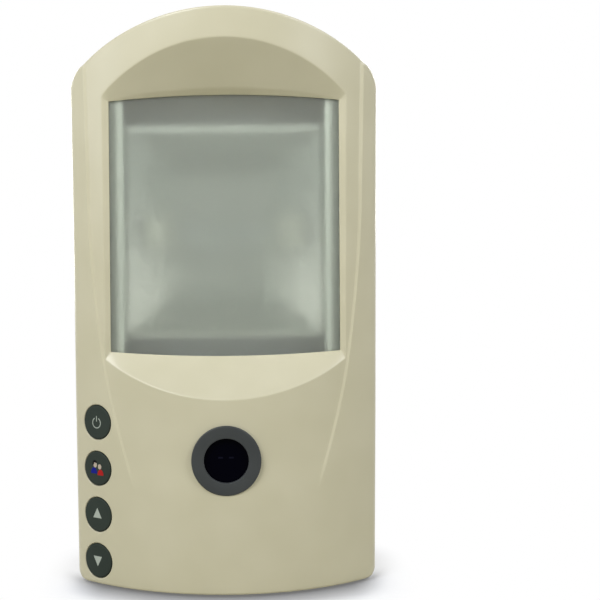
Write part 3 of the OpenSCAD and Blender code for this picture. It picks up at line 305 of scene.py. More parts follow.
# points in mm and faces become an object at the origin that rides on a body; a quad that loses a corner to the
# merging is left a triangle
def makePiece(name, points, faces, material, body, slot, replaced=(), flip=False, sharpAt=None):
    mesh = bpy.data.meshes.new(name)
    quads = np.asarray(faces)[:, ::-1] if flip else np.asarray(faces)
    mesh.from_pydata((np.asarray(points).reshape(-1, 3) * mm).tolist(), [], quads.tolist())
    work = bmesh.new()
    work.from_mesh(mesh)
    bmesh.ops.remove_doubles(work, verts=work.verts, dist=mergeMm * mm)
    loose = [v for v in work.verts if not v.link_faces]
    bmesh.ops.delete(work, geom=loose, context="VERTS")
    work.to_mesh(mesh)
    work.free()
    mesh.polygons.foreach_set("use_smooth", np.ones(len(mesh.polygons), bool))
    if sharpAt:
        mesh.set_sharp_from_angle(angle=np.radians(sharpAt))
    else:                               # open borders keep their own shading when they get a wall
        used = np.empty(len(mesh.loops), int)
        mesh.loops.foreach_get("edge_index", used)
        border = np.bincount(used, minlength=len(mesh.edges)) == 1
        mesh.attributes.new("sharp_edge", "BOOLEAN", "EDGE").data.foreach_set("value", border)
    mesh.materials.append(material)
    piece = bpy.data.objects.new(name, mesh)
    scene.collection.objects.link(piece)
    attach(piece, body)
    if replaced:
        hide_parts(*replaced)
    return piece


# front shell, all in mm: x to the right, y to the rear, z up; what is named Over is a start and a length
shell = dict(
    base=2.0, baseHalf=111.5, lean=0.010959,                # bottom, half-width there, lean of the sides
    bowR=168.0, bowMid=103.0, frontY=-65.0, backEdge=15.0,  # bowed front and parting line
    archR=175.0, archMid=247.0, roofFall=0.0699,            # arched roof and its fall to the rear
    lift=(2.2, 95.0), liftOver=(-45.0, 60.0),               # rise of the roof's front edge at a half-width
    shoulder=(95.5, 369.1), shoulderTurn=52.0,              # middle of the shoulder's fillet, its turn in degrees
    cornerR=7.0, cornerTurn=90.0, cornerAt=378.6,           # lower corners; height where sides meet the roof
    inset=(3.2, 2.2, 1.6), roll=(4.15, 2.2, 1.6),           # edge rounding: sides, roof, bottom
    panelHalf=101.5, waist=302.0, edgeR=767.0, edgeLean=0.0244,     # line of the centre panel's crease
    creaseShift=-1.0, creaseBulge=(1.1, 152.0, 45.0),       # its offset; a bulge's size, height and spread
    creaseWidth=(2.3, 0.8), widenOver=(200.0, 150.0),       # its width low down and what it gains
    creaseSoft=0.006, creasePower=1.4,                      # softness of its ends, how late it rises
    sink=(1.2, 1.9), sinkOver=(64.0, 358.0),                # depth of the panel low and high
    fadeOver=(70.0, 28.0),                                  # where the panel runs out
    cheekFall=0.16, cheekSoft=0.05, cheekOver=(120.0, 140.0),       # extra turn of the strips beyond the crease
    glassY=-36.0, glassHalf=84.5, glassTop=362.0, glassLow=170.0,   # opening at the glass
    topCurve=1646.0, lowCurve=1980.0,                       # its bulge up and down, as x * x over these
    windowEdge=(88.4, 1.1), windowOver=(182.0, 170.0),      # half-width of its outer edge and what it gains
    scoopTop=(399.3, 126.5), scoopLow=(141.3, 158.0),       # height and radius of the scoop's outer arcs
    arcEnd=90.0,                                            # half-width where the window's arcs level out
    lip=(1.5, 0.12, 84.0),                                  # lip over the glass: height, place, half-width
    soft=(0.3, 0.15),                                       # softness of edges and mitres
    rowCounts=(96, 22, 40, 26, 16), roofRows=4,             # rows between key lines; which are the roof's
    colCounts=(46, 7, 8, 8, 20),
    firstRows=(4, 380), settle=20,                          # first guess of the rows and rounds until they settle
    windowSpan=(160, 370), columnRoom=(1.6, 3.6),           # heights of the window's lines, room beside them
    rollSteps=6, rollBlur=6,                                # rows round the edge; points that even it out
    runSteps=(0.13, 0.27, 0.41, 0.55, 0.69, 0.83, 0.985, 1.0),      # a close last row keeps the edge crisp
    tuck=(0.4, 0.35), tuckSize=(115, 190),                  # rounding at the parting line; half the size
    wall=2.4,                                               # thickness
)


def sideHalf(z):
    return shell["baseHalf"] + (z - shell["base"]) * shell["lean"]


def bowAt(x):  # circle of the bowed front, seen from above
    return shell["bowMid"] - np.sqrt(shell["bowR"] ** 2 - x * x)


def roofAt(x, inset=0.0):
    return shell["archMid"] + np.sqrt((shell["archR"] - inset) ** 2 - x * x)


def along(value, over):  # share of a stretch given by its start and length
    return (value - over[0]) / over[1]


def smoothStep(t):
    t = np.clip(t, 0, 1)
    return t * t * (3 - 2 * t)


def softMax(a, b, k):  # the larger of two, with the corner rounded over about k
    return 0.5 * (a + b + np.sqrt((a - b) ** 2 + k * k))


def softMin(a, b, k):
    return -softMax(-a, -b, k)


# middle and width of the crease: straight and leaning above the waist, an arc that runs inwards below it
def creaseAt(z):
    drop = np.clip(shell["waist"] - z, 0, None)
    low = shell["panelHalf"] - shell["edgeR"] + np.sqrt(shell["edgeR"] ** 2 - drop ** 2)
    mid = low + np.clip(z - shell["waist"], 0, None) * shell["edgeLean"]
    size, height, spread = shell["creaseBulge"]
    mid = mid + shell["creaseShift"] + size * np.exp(-((z - height) / spread) ** 2)
    width, gain = shell["creaseWidth"]
    return mid, width + gain * smoothStep(along(z, shell["widenOver"]))


# bowed front, sunk inside the crease by a depth that grows with height; the crease steepens outwards
def frontAt(x, z):
    mid, width = creaseAt(z)
    q = (np.abs(x) - mid) / width + 0.5
    soft = shell["creaseSoft"]
    ramp = (0.5 * (1 + np.sqrt(q * q + soft) - np.sqrt((q - 1) ** 2 + soft))) ** shell["creasePower"]
    low, high = shell["sink"]
    depth = low + (high - low) * np.clip(along(z, shell["sinkOver"]), 0, None)
    depth = depth * smoothStep(along(z, shell["fadeOver"]))
    beyond = 0.5 * (q - 1 + np.sqrt((q - 1) ** 2 + shell["cheekSoft"])) * width
    fall = shell["cheekFall"] * beyond * smoothStep(along(z, shell["cheekOver"]))
    return bowAt(x) + depth * (1 - ramp) + fall


def reach(x):  # square of the distance from the middle, as far as the window's arcs go
    return np.minimum(np.abs(x), shell["arcEnd"]) ** 2


def glassTopAt(x):
    return shell["glassTop"] - reach(x) / shell["topCurve"]


def glassLowAt(x):
    return shell["glassLow"] + reach(x) / shell["lowCurve"]


def scoopTopAt(x):
    top, r = shell["scoopTop"]
    return top - r + np.sqrt(r * r - reach(x))


def scoopLowAt(x):
    low, r = shell["scoopLow"]
    return low + r - np.sqrt(r * r - reach(x))


def windowEdgeAt(z):
    half, gain = shell["windowEdge"]
    return half + gain * along(z, shell["windowOver"])


# skin of the shell as a depth over x and z: ruled reveals run from the glass's edge to the scoop's outer edge,
# the nearest of them wins, and the front covers what lies before it
def shellAt(x, z):
    glass = shell["glassY"]
    top, low = glassTopAt(x), glassLowAt(x)
    outTop, outLow, outSide = scoopTopAt(x), scoopLowAt(x), windowEdgeAt(z)
    t = (z - top) / (outTop - top)
    size, place, half = shell["lip"]
    lip = size * np.clip(np.minimum(t / place, (1 - t) / (1 - place)), 0, 1) * np.clip(1 - (x / half) ** 2, 0, 1)
    up = glass + (frontAt(x, outTop) - glass) * t - lip
    t = (low - z) / (low - outLow)
    down = glass + (frontAt(x, outLow) - glass) * t
    t = (np.abs(x) - shell["glassHalf"]) / (outSide - shell["glassHalf"])
    side = glass + (frontAt(outSide, z) - glass) * t
    edge, mitre = shell["soft"]
    return softMax(frontAt(x, z), softMin(softMin(up, down, mitre), side, mitre), edge)


# steps from 0 to 1 that are closer at both ends
def stepsClose(count, close=0.6):
    t = np.linspace(0, 1, count + 1)
    return t - close * np.sin(2 * np.pi * t) / (2 * np.pi)


# numbers the stretches between key lines: for each line its stretch and its share of it
def keyLines(counts):
    seg = np.concatenate([np.full(n, k) for k, n in enumerate(counts)] + [[len(counts) - 1]])
    share = np.concatenate([stepsClose(n)[:-1] for n in counts] + [[1.0]])
    return seg.astype(int), share


# in the wedge about a fillet's centre, points move towards it by cos of their turn from the wedge's nearer end
def wedgePull(dx, dz, full):
    turn = np.degrees(np.arctan2(dz, dx))
    return np.where((turn > 0) & (turn < full), np.cos(np.radians(np.minimum(turn, full - turn))), 1.0)


# rounds the outline's corners, first the shoulders, then the lower ones
def roundCorners(x, z):
    side = np.where(x < 0, -1.0, 1.0)
    cx, cz = shell["shoulder"]
    dx, dz = np.abs(x) - cx, z - cz
    pull = wedgePull(dx, dz, shell["shoulderTurn"])
    x, z = side * (cx + dx * pull), cz + dz * pull
    r = shell["cornerR"]
    cx, cz = sideHalf(shell["base"] + r) - r, shell["base"] + r
    dx, dz = np.abs(x) - cx, z - cz
    pull = wedgePull(dx, -dz, shell["cornerTurn"])
    return side * (cx + dx * pull), cz + dz * pull


# lifts the roof's front edge towards the shoulders by the square of x, running out at the scoop and to the rear
def roofLift(x, y, z):
    low = scoopTopAt(x)
    share = np.clip((z - low) / (roofAt(x) - low), 0, 1)
    rise, half = shell["lift"]
    return rise * (x / half) ** 2 * share * (1 - smoothStep(along(y, shell["liftOver"])))


# key column in mm: keys, the holes round them, then profiles as radius and depth: the rim's outer edge, counted
# from rimOut, and its roll into the hole, counted from the hole
keys = dict(x=-95.4, zs=(19.0, 53.2, 87.4, 121.6), r=12.5, proud=0.4, gap=0.35, edge=0.8, capRings=9, wallAt=2.5,
            depth=7.7, stem=2.5, stemEnd=8.4, holeCut=14.3, rimOut=15.0, rimEdge=((0.0, 0.03), (-0.6, 0.0)),
            rimRoll=((1.1, 0.0), (0.75, 0.04), (0.45, 0.15), (0.2, 0.35), (0.05, 0.65), (0.0, 1.0), (0.0, 6.0)),
            rimCount=96, keyCount=80)
# a key's own directions: across the bow (u), into the housing (v) and up (w)
keyTurn = np.arcsin(-keys["x"] / shell["bowR"])
keyOut = np.array([keys["x"], bowAt(np.array(keys["x"])), 0.0])
keyAcross = np.array([np.cos(keyTurn), -np.sin(keyTurn), 0.0])
keyInto = np.array([np.sin(keyTurn), np.cos(keyTurn), 0.0])
keyUp = np.array([0.0, 0.0, 1.0])


def bowDepth(u, grow=0.0):  # how far the bow falls back from the key's plane
    return shell["bowR"] - np.sqrt((shell["bowR"] + grow) ** 2 - u * u)


def keyPoint(u, v, w, z):
    flat = keyOut + np.multiply.outer(u, keyAcross) + np.multiply.outer(v, keyInto)
    return flat + np.multiply.outer(w + z, keyUp)


# display in mm: ring with its rounded rim and lip, its tube, the lens in it and the two dashes on the lens
bezel = dict(z=98.0, r=25.0, disc=16.0, face=-65.6, seat=-63.14, holeCut=21.0,
             rimR=0.9, lipR=0.5, lipSunk=0.35, flatTo=4.0, flatSunk=0.02, tube=19.4, tubeEnd=-55.2, ledge=1.5,
             lensY=-62.14, lensT=2.0, lensDome=0.0006, lensRings=(3, 1.1, 8), lensEdge=(1.45, 0.5),
             dashX=(-4.1, 3.6), dashZ=1.9, dash=(1.7, 1.6, 0.6), dashAbove=0.03, sharpAt=40)


# grid over the front whose lines follow the crease, the window and the scoop, with each row's share in the
# roof's fall
def layFrontGrid():
    colSeg, colShare = keyLines(shell["colCounts"])
    rowSeg, rowShare = keyLines(shell["rowCounts"])
    rows, cols = len(rowSeg), len(colSeg)
    r, c = np.arange(rows)[:, None], np.arange(cols)[None, :]
    insetSide, insetRoof, insetLow = shell["inset"]
    creaseRoom, glassRoom = shell["columnRoom"]
    z = np.tile(np.linspace(*shell["firstRows"], rows)[:, None], (1, cols))
    for turn in range(shell["settle"]):
        mid, width = creaseAt(z)
        edge = np.minimum(windowEdgeAt(np.clip(z, *shell["windowSpan"])), mid - width / 2 - creaseRoom)
        lines = np.stack([0 * z, np.minimum(shell["glassHalf"], edge - glassRoom), edge, mid - width / 2,
                          mid + width / 2, sideHalf(z) - insetSide])
        a, b = lines[colSeg[None, :], r, c], lines[colSeg[None, :] + 1, r, c]
        x = a + (b - a) * colShare
        lines = np.stack([0 * x + shell["base"] + insetLow, scoopLowAt(x), glassLowAt(x), glassTopAt(x),
                          scoopTopAt(x), roofAt(x, insetRoof)])
        a, b = lines[rowSeg[:, None], r, c], lines[rowSeg[:, None] + 1, r, c]
        z = a + (b - a) * rowShare[:, None]
    x, z = np.hstack([-x[:, :0:-1], x]), np.hstack([z[:, :0:-1], z])
    fallShare = np.where(rowSeg == shell["roofRows"], rowShare, 0.0)[:, None] + 0 * x
    return x, z, fallShare


# takes out the faces under the keys and the display, and pulls the edges of the holes to circles
def cutHoles(front, faces):
    px, py, pz = front.T
    for keyZ, cut in [(z, keys["holeCut"]) for z in keys["zs"]] + [(None, bezel["holeCut"])]:
        if keyZ is None:
            u, w = px, pz - bezel["z"]
        else:
            u = (px - keyOut[0]) * keyAcross[0] + (bowAt(px) - keyOut[1]) * keyAcross[1]
            w = pz - keyZ
        away = np.hypot(u, w)
        gone = np.hypot(u[faces].mean(1), w[faces].mean(1)) < cut
        if keyZ is not None:
            gone &= px[faces].mean(1) < 0
        edge = np.intersect1d(faces[gone], faces[~gone])
        u, w = u[edge] * cut / away[edge], w[edge] * cut / away[edge]
        if keyZ is None:
            px[edge], pz[edge] = u, w + bezel["z"]
        else:
            spot = keyPoint(u, bowDepth(u), w, keyZ)
            px[edge], pz[edge] = spot[:, 0], spot[:, 2]
        py[edge] = shellAt(px[edge], pz[edge])
        faces = faces[~gone]
    return faces


# rows of points from the grid's border round the edge and back to the parting line; x and z are the grid's before
# its corners were rounded, and part says side 0, roof 1 or bottom 2
def makeSkirt(first, x, z, ring, fall):
    rows, cols = x.shape
    part = np.repeat([2, 0, 1, 0], [cols, rows - 1, cols - 1, rows - 2])
    bx, bz = x.ravel()[ring], z.ravel()[ring]
    cornerX = sideHalf(shell["cornerAt"])
    zLow, zHigh = z[0, -1], z[-1, -1]
    oz = shell["base"] + (bz - zLow) / (zHigh - zLow) * (roofAt(cornerX) - shell["base"])
    ox = np.sign(bx) * sideHalf(oz)
    ox = np.where(part == 2, bx * shell["baseHalf"] / x[0, -1], ox)
    oz = np.where(part == 2, shell["base"], oz)
    ox = np.where(part == 1, bx * cornerX / x[-1, -1], ox)
    oz = np.where(part == 1, roofAt(ox), oz)
    ox, oz = roundCorners(ox, oz)

    blur = shell["rollBlur"]
    window = 2 * blur + 1
    roll = np.array(shell["roll"])[part]
    roll = np.convolve(np.concatenate([roll[-blur:], roll, roll[:blur]]), np.ones(window) / window, "valid")
    y1 = first[:, 1] + bowAt(ox) - bowAt(first[:, 0])
    second = np.stack([ox, y1, oz - fall * (y1 - shell["frontY"])], 1)
    y2 = y1 + roll
    third = np.stack([ox, y2, oz - fall * (y2 - shell["frontY"])], 1)
    t = np.linspace(0, 1, shell["rollSteps"] + 1)[1:, None, None]
    curve = (1 - t) ** 2 * first + 2 * t * (1 - t) * second + t * t * third
    back, inwards = shell["tuck"]
    halfWide, halfTall = shell["tuckSize"]
    yRun = y2 + (shell["backEdge"] - back - y2) * np.array(shell["runSteps"])[:, None]
    run = np.stack([ox + 0 * yRun, yRun, oz - fall * (yRun - shell["frontY"])], -1)
    tuck = run[-1:] * [1, 0, 1] + [0, shell["backEdge"], 0]
    tuck = tuck - inwards * np.stack([ox / halfWide, 0 * ox, (oz - halfTall) / halfTall], -1)
    return np.concatenate([curve, run, tuck])


def makeFrontShell():
    squareX, squareZ, fallShare = layFrontGrid()
    rows, cols = squareX.shape
    x, z = roundCorners(squareX, squareZ)
    z = z - fallShare * shell["roofFall"] * (bowAt(x) - shell["frontY"])
    front = np.stack([x, shellAt(x, z), z], -1).reshape(-1, 3)
    faces = gridFaces(rows, cols)
    cellRow, cellCol = np.divmod(np.arange(len(faces)), cols - 1)
    lowRow, topRow = sum(shell["rowCounts"][:2]), sum(shell["rowCounts"][:3])
    fromMiddle = np.abs(cellCol - (cols - 1) // 2 + 0.5)
    inWindow = (cellRow >= lowRow) & (cellRow < topRow) & (fromMiddle < shell["colCounts"][0])
    faces = cutHoles(front, faces[~inWindow])

    ring = borderRing(rows, cols)
    skirt = makeSkirt(front[ring], squareX, squareZ, ring, fallShare.ravel()[ring] * shell["roofFall"])
    skirtFaces = gridFaces(len(skirt), len(ring), True, len(front))
    after = len(front) + np.arange(len(ring))
    between = np.stack([ring, np.roll(ring, -1), np.roll(after, -1), after], 1)
    points = np.concatenate([front, skirt.reshape(-1, 3)])
    points[:, 2] += roofLift(*points.T)
    piece = makePiece("frontShell", points, np.concatenate([faces, between[:, ::-1], skirtFaces[:, ::-1]]),
                      mouldedAbs, "housing", "housing_plastic", ["front_shell"])
    thick = piece.modifiers.new("wall", "SOLIDIFY")
    thick.thickness = shell["wall"] * mm
    thick.offset = -1.0
    return piece


frontShell = makeFrontShell()
print("front shell made,", len(frontShell.data.polygons), "faces")


# rims of the key holes: rings of the shell's own skin, then a small roll and a wall going in
def makeKeyRims():
    hole = keys["r"] + keys["gap"]
    profile = [(keys["rimOut"] + r, d) for r, d in keys["rimEdge"]] + [(hole + r, d) for r, d in keys["rimRoll"]]
    radii, sunk = np.array(profile).T
    turn = fullTurn(keys["rimCount"])
    u, w = np.outer(radii, np.cos(turn)), np.outer(radii, np.sin(turn))
    rims = []
    for z in keys["zs"]:
        rim = keyPoint(u, bowDepth(u), w, z)
        rim[..., 1] += shellAt(rim[..., 0], rim[..., 2]) - bowAt(rim[..., 0])
        rims.append(rim + np.multiply.outer(sunk[:, None] + 0 * u, keyInto))
    makePiece("keyRims", *joinGrids(rims, True), mouldedAbs, "housing", "housing_plastic", flip=True)


makeKeyRims()


# key: a cap that follows the bow, rolled over at its rim, with its wall and stem behind, as one turned profile
def makeKey(name, z, body, node):
    r, e, stem = keys["r"], keys["edge"], keys["stem"]
    a = quarterTurn[1:]
    cap = np.linspace(0, r - e, keys["capRings"])
    radii = np.concatenate([cap, r - e + e * np.sin(a), [r, r, stem, stem, 0]])
    sunk = np.concatenate([0 * cap, e * (1 - np.cos(a)), [keys["wallAt"]]])
    behind = [keys["depth"], keys["depth"], keys["stemEnd"], keys["stemEnd"]]
    turn = fullTurn(keys["keyCount"])
    u, w = np.outer(radii, np.cos(turn)), np.outer(radii, np.sin(turn))
    onBow = bowDepth(u[:len(sunk)], keys["proud"]) + sunk[:, None]
    v = np.concatenate([onBow, np.array(behind)[:, None] + 0 * u[len(sunk):]])
    faces = gridFaces(len(radii), len(turn), True)
    makePiece(name, keyPoint(u, v, w, z), faces, siliconeKey, body, "button_rubber", [node])


# printed sign: patches over (u, w) laid a few hundredths of a mm above the cap
def makeSign(name, z, body, patches, material, above):
    grids = [keyPoint(u, bowDepth(u, keys["proud"]) - above, w, z) for u, w in patches]
    makePiece(name, *joinGrids(grids), material, body, "button_rubber")


# ring sector between two radii about a point; with inner radius 0 it is a disc or a fan
def sector(cu, cw, r0, r1, a0, a1, squeeze=1.0, cols=41, rows=4):
    a = np.radians(np.linspace(a0, a1, cols))
    r = np.linspace(r0, r1, rows)[:, None]
    return cu + r * np.cos(a) * squeeze, cw + r * np.sin(a)


# four-sided patch between two edges given by their ends
def patch(u0, u1, w0, v0, v1, w1, cols=9, rows=7):
    t, s = np.linspace(0, 1, cols), np.linspace(0, 1, rows)[:, None]
    return (u0 + (u1 - u0) * t) * (1 - s) + (v0 + (v1 - v0) * t) * s, w0 + (w1 - w0) * s + 0 * t


keyNames = [("downKey", "down_key", "down_button"), ("upKey", "up_key", "up_button"),
            ("userKey", "user_key", "user_button"), ("powerKey", "power_key", "power_button")]
for (name, body, node), z in zip(keyNames, keys["zs"]):
    makeKey(name, z, body, node)

# signs in mm from a key's middle: sectors as place, radii, angles and squeeze; bar as half-width and ends;
# arrow as half-width, half-height and half the width of its tip
signs = dict(
    ring=(0.0, -0.4, 3.4, 4.1, 118, 422), bar=(0.35, 0.6, 4.7), arrow=(4.0, 3.7, 0.05), upAt=1.3, downAt=-0.4,
    leftBust=(-2.9, -3.8, 0, 4.5, 0, 180, 0.66), rightBust=(3.4, -4.8, 0, 4.3, 0, 180, 0.66),
    heads=((-1.7, 2.7, 0, 2.1, 0, 360, 0.8), (2.6, 1.5, 0, 1.9, 0, 360, 0.85)),
    hair=(-2.0, 3.5, 0.9, 2.6, 20, 205, 0.9),
    inkAbove=0.04, headsAbove=0.055, hairAbove=0.07,        # each layer of ink lies above the one below it
)
zDown, zUp, zUser, zPower = keys["zs"]
half, low, high = signs["bar"]
powerPatches = [sector(*signs["ring"]), patch(-half, half, low, -half, half, high)]
half, tall, tip = signs["arrow"]
upPatch = patch(-half, half, signs["upAt"] - tall, -tip, tip, signs["upAt"] + tall)
downPatch = patch(-tip, tip, signs["downAt"] - tall, -half, half, signs["downAt"] + tall)
heads = [sector(*head) for head in signs["heads"]]
makeSign("powerSign", zPower, "power_key", powerPatches, greyInk, signs["inkAbove"])
makeSign("upSign", zUp, "up_key", [upPatch], greyInk, signs["inkAbove"])
makeSign("downSign", zDown, "down_key", [downPatch], greyInk, signs["inkAbove"])
makeSign("leftBust", zUser, "user_key", [sector(*signs["leftBust"])], blueInk, signs["inkAbove"])
makeSign("rightBust", zUser, "user_key", [sector(*signs["rightBust"])], redInk, signs["inkAbove"])
makeSign("bustHeads", zUser, "user_key", heads, skinInk, signs["headsAbove"])
makeSign("bustHair", zUser, "user_key", [sector(*signs["hair"])], darkInk, signs["hairAbove"])
print("keys made")


# turned piece: a profile of radius and depth carried round an axis along y at a height
def turned(profile, z, count=128):
    turn = fullTurn(count)
    r, y = np.array(profile).T
    points = np.stack([np.outer(r, np.cos(turn)), y[:, None] + 0 * turn, z + np.outer(r, np.sin(turn))], -1)
    return points, gridFaces(len(r), count, True)


def makeDisplay():
    r, d, face, seat, y = bezel["r"], bezel["disc"], bezel["face"], bezel["seat"], bezel["lensY"]
    rimR, lipR, tube, tubeEnd = bezel["rimR"], bezel["lipR"], bezel["tube"], bezel["tubeEnd"]
    a = quarterTurn
    rim = np.stack([r - rimR + rimR * np.cos(a), face + rimR - rimR * np.sin(a)], 1)
    lip = np.stack([d + lipR - lipR * np.sin(a), face + bezel["lipSunk"] + lipR - lipR * np.cos(a)], 1)
    ledge = d + bezel["ledge"]
    ring = [(tube, tubeEnd), (tube, seat), (r, seat), *rim, (d + bezel["flatTo"], face + bezel["flatSunk"]), *lip,
            (d, y), (ledge, y), (ledge, tubeEnd), (tube, tubeEnd)]
    makePiece("displayBezel", *turned(ring, bezel["z"]), satinBezel, "housing", "bezel_plastic",
              ["display_bezel"], sharpAt=bezel["sharpAt"])
    inner, outer, rings = bezel["lensRings"]
    wide, bevel = bezel["lensEdge"]
    back = y + bezel["lensT"]
    dome = [(q, y + bezel["lensDome"] * q * q) for q in np.linspace(inner, d + outer, rings)]
    lens = [(0, y), *dome, (d + wide, y + bevel), (d + wide, back), (0, back)]
    makePiece("displayLens", *turned(lens, bezel["z"]), smokedAcrylic, "housing", "lens_acrylic",
              ["display_lens"], sharpAt=bezel["sharpAt"])
    low, high, tall = bezel["dash"]
    dashes = []
    for x in bezel["dashX"]:            # middle bar of each digit
        u, w = patch(x - low, x + low, -tall, x - high, x + high, tall)
        dashes.append(np.stack([u, 0 * u + y - bezel["dashAbove"], w + bezel["z"] + bezel["dashZ"]], -1))
    makePiece("displaySegments", *joinGrids(dashes), dimSegment, "housing", "dark_plastic")


makeDisplay()
print("display made")


# pane behind the window: the same grid before and behind, joined round its border
def makePane():
    t, q = np.linspace(-1, 1, pane["cols"]), np.linspace(0, 1, pane["rows"])[:, None]
    x = t * (shell["glassHalf"] + pane["lap"]) + 0 * q
    low, top = glassLowAt(x) - pane["lap"], glassTopAt(x) + pane["lap"]
    z = low + (top - low) * q
    sheets = np.stack([np.stack([x, 0 * x + y, z], -1) for y in (pane["front"], pane["back"])])
    ring = borderRing(*x.shape)
    following = np.roll(ring, -1)
    front = gridFaces(*x.shape)
    border = np.stack([ring, ring + x.size, following + x.size, following], 1)
    makePiece("filterPane", sheets, np.concatenate([front, front[:, ::-1] + x.size, border]), frostedGlass,
              "housing", "filter_glass", ["filter_glass"], sharpAt=pane["sharpAt"])


makePane()
print("pane made")

# turned and rounded nodes that show: the same mesh with its triangles joined, shaded smooth but for sharp edges
roundedSharpAt = 32
rounded = dict(
    rearCover=("rear_cover", backAbs, "housing", "housing_plastic"),
    caseScrews=("case_screws", screwSteel, "housing", "screw_steel"),
    rubberFeet=("rubber_feet", epdmRubber, "housing", "foot_rubber"),
    cordGland=("cord_gland", epdmRubber, "housing", "gland_rubber"),
    fanFrame=("fan_frame", fanPbt, "housing", "fan_plastic"),
    fanRotor=("fan_rotor", fanPbt, "fan", "fan_plastic"),
    fanScrews=("fan_screws", screwSteel, "housing", "screw_steel"),
    leftRail=("glass_rail_left", rolledAluminium, "housing", "rail_aluminium"),
    rightRail=("glass_rail_right", rolledAluminium, "housing", "rail_aluminium"),
    quartzLamp=("quartz_lamp", quartzGlass, "housing", "quartz_glass"),
    lampCaps=("lamp_caps", steatite, "housing", "lamp_ceramic"),
)
for name, (node, finish, body, slot) in rounded.items():
    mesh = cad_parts[node].data
    points, corners = np.empty(3 * len(mesh.vertices)), np.empty(len(mesh.loops), int)
    mesh.vertices.foreach_get("co", points)
    mesh.loops.foreach_get("vertex_index", corners)
    makePiece(name, points / mm, corners.reshape(-1, 3), finish, body, slot, [node], sharpAt=roundedSharpAt)
print("rounded nodes made", len(rounded))

# carried-over nodes and their finishes
finishes = dict(
    glass_gasket=siliconeStrip, rail_screws=screwSteel, reflector=reflectorSheet,
    lamp_bracket=zincSteel, bracket_screws=screwSteel, lamp_socket_left=steatite, lamp_socket_right=steatite,
    thermal_cutout=zincSteel, chassis_plate=zincSteel, chassis_screws=screwSteel, heat_shield=zincSteel,
    bezel_clip=screwSteel, display_module=blackNylon, control_board=solderMask, control_board_screws=screwSteel,
    power_plunger=blackNylon, user_plunger=blackNylon, up_plunger=blackNylon, down_plunger=blackNylon,
    button_board=solderMask, button_switches=blackNylon, button_board_screws=screwSteel,
    ballast_core=coreSteel, ballast_coil=copperWinding, ballast_screws=screwSteel,
    power_board=solderMask, power_board_screws=screwSteel, relay=blueCover, capacitor=drawnCan,
    supply_transformer=yellowTape, fuse_holder=blackNylon, terminal_block=creamNylon, gland_nut=blackNylon,
)
for name, finish in finishes.items():
    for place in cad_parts[name].material_slots:
        place.material = finish
print("finishes set on", len(finishes), "nodes")


# 1 for what the camera sees, also by gloss or through glass, 0 for light that bounces off matt faces
def seenRays(tree):
    path = addNode(tree, "LightPath")
    seen = addNode(tree, "Math", {0: path.outputs["Is Camera Ray"], 1: path.outputs["Is Glossy Ray"]},
                   operation="MAXIMUM")
    seen = addNode(tree, "Math", {0: seen.outputs[0], 1: path.outputs["Is Transmission Ray"]},
                   operation="MAXIMUM")
    return seen.outputs[0]


# floor in mm: half its size; box inside the base from which white fades in, over which distances, its least
# share, which paints light into the shade under the base; painted shadow arc along the bowed front: its rise up
# to the bow, its fall beyond it, where it ends sideways and to the rear
ground = dict(half=6000, box=(85, 35, 0), fade=(5, 60), leastPaintedGlow=0.16,
              arcRise=(-16, -2), arcFall=34, arcSide=(90, 130), arcRear=(0, 30))


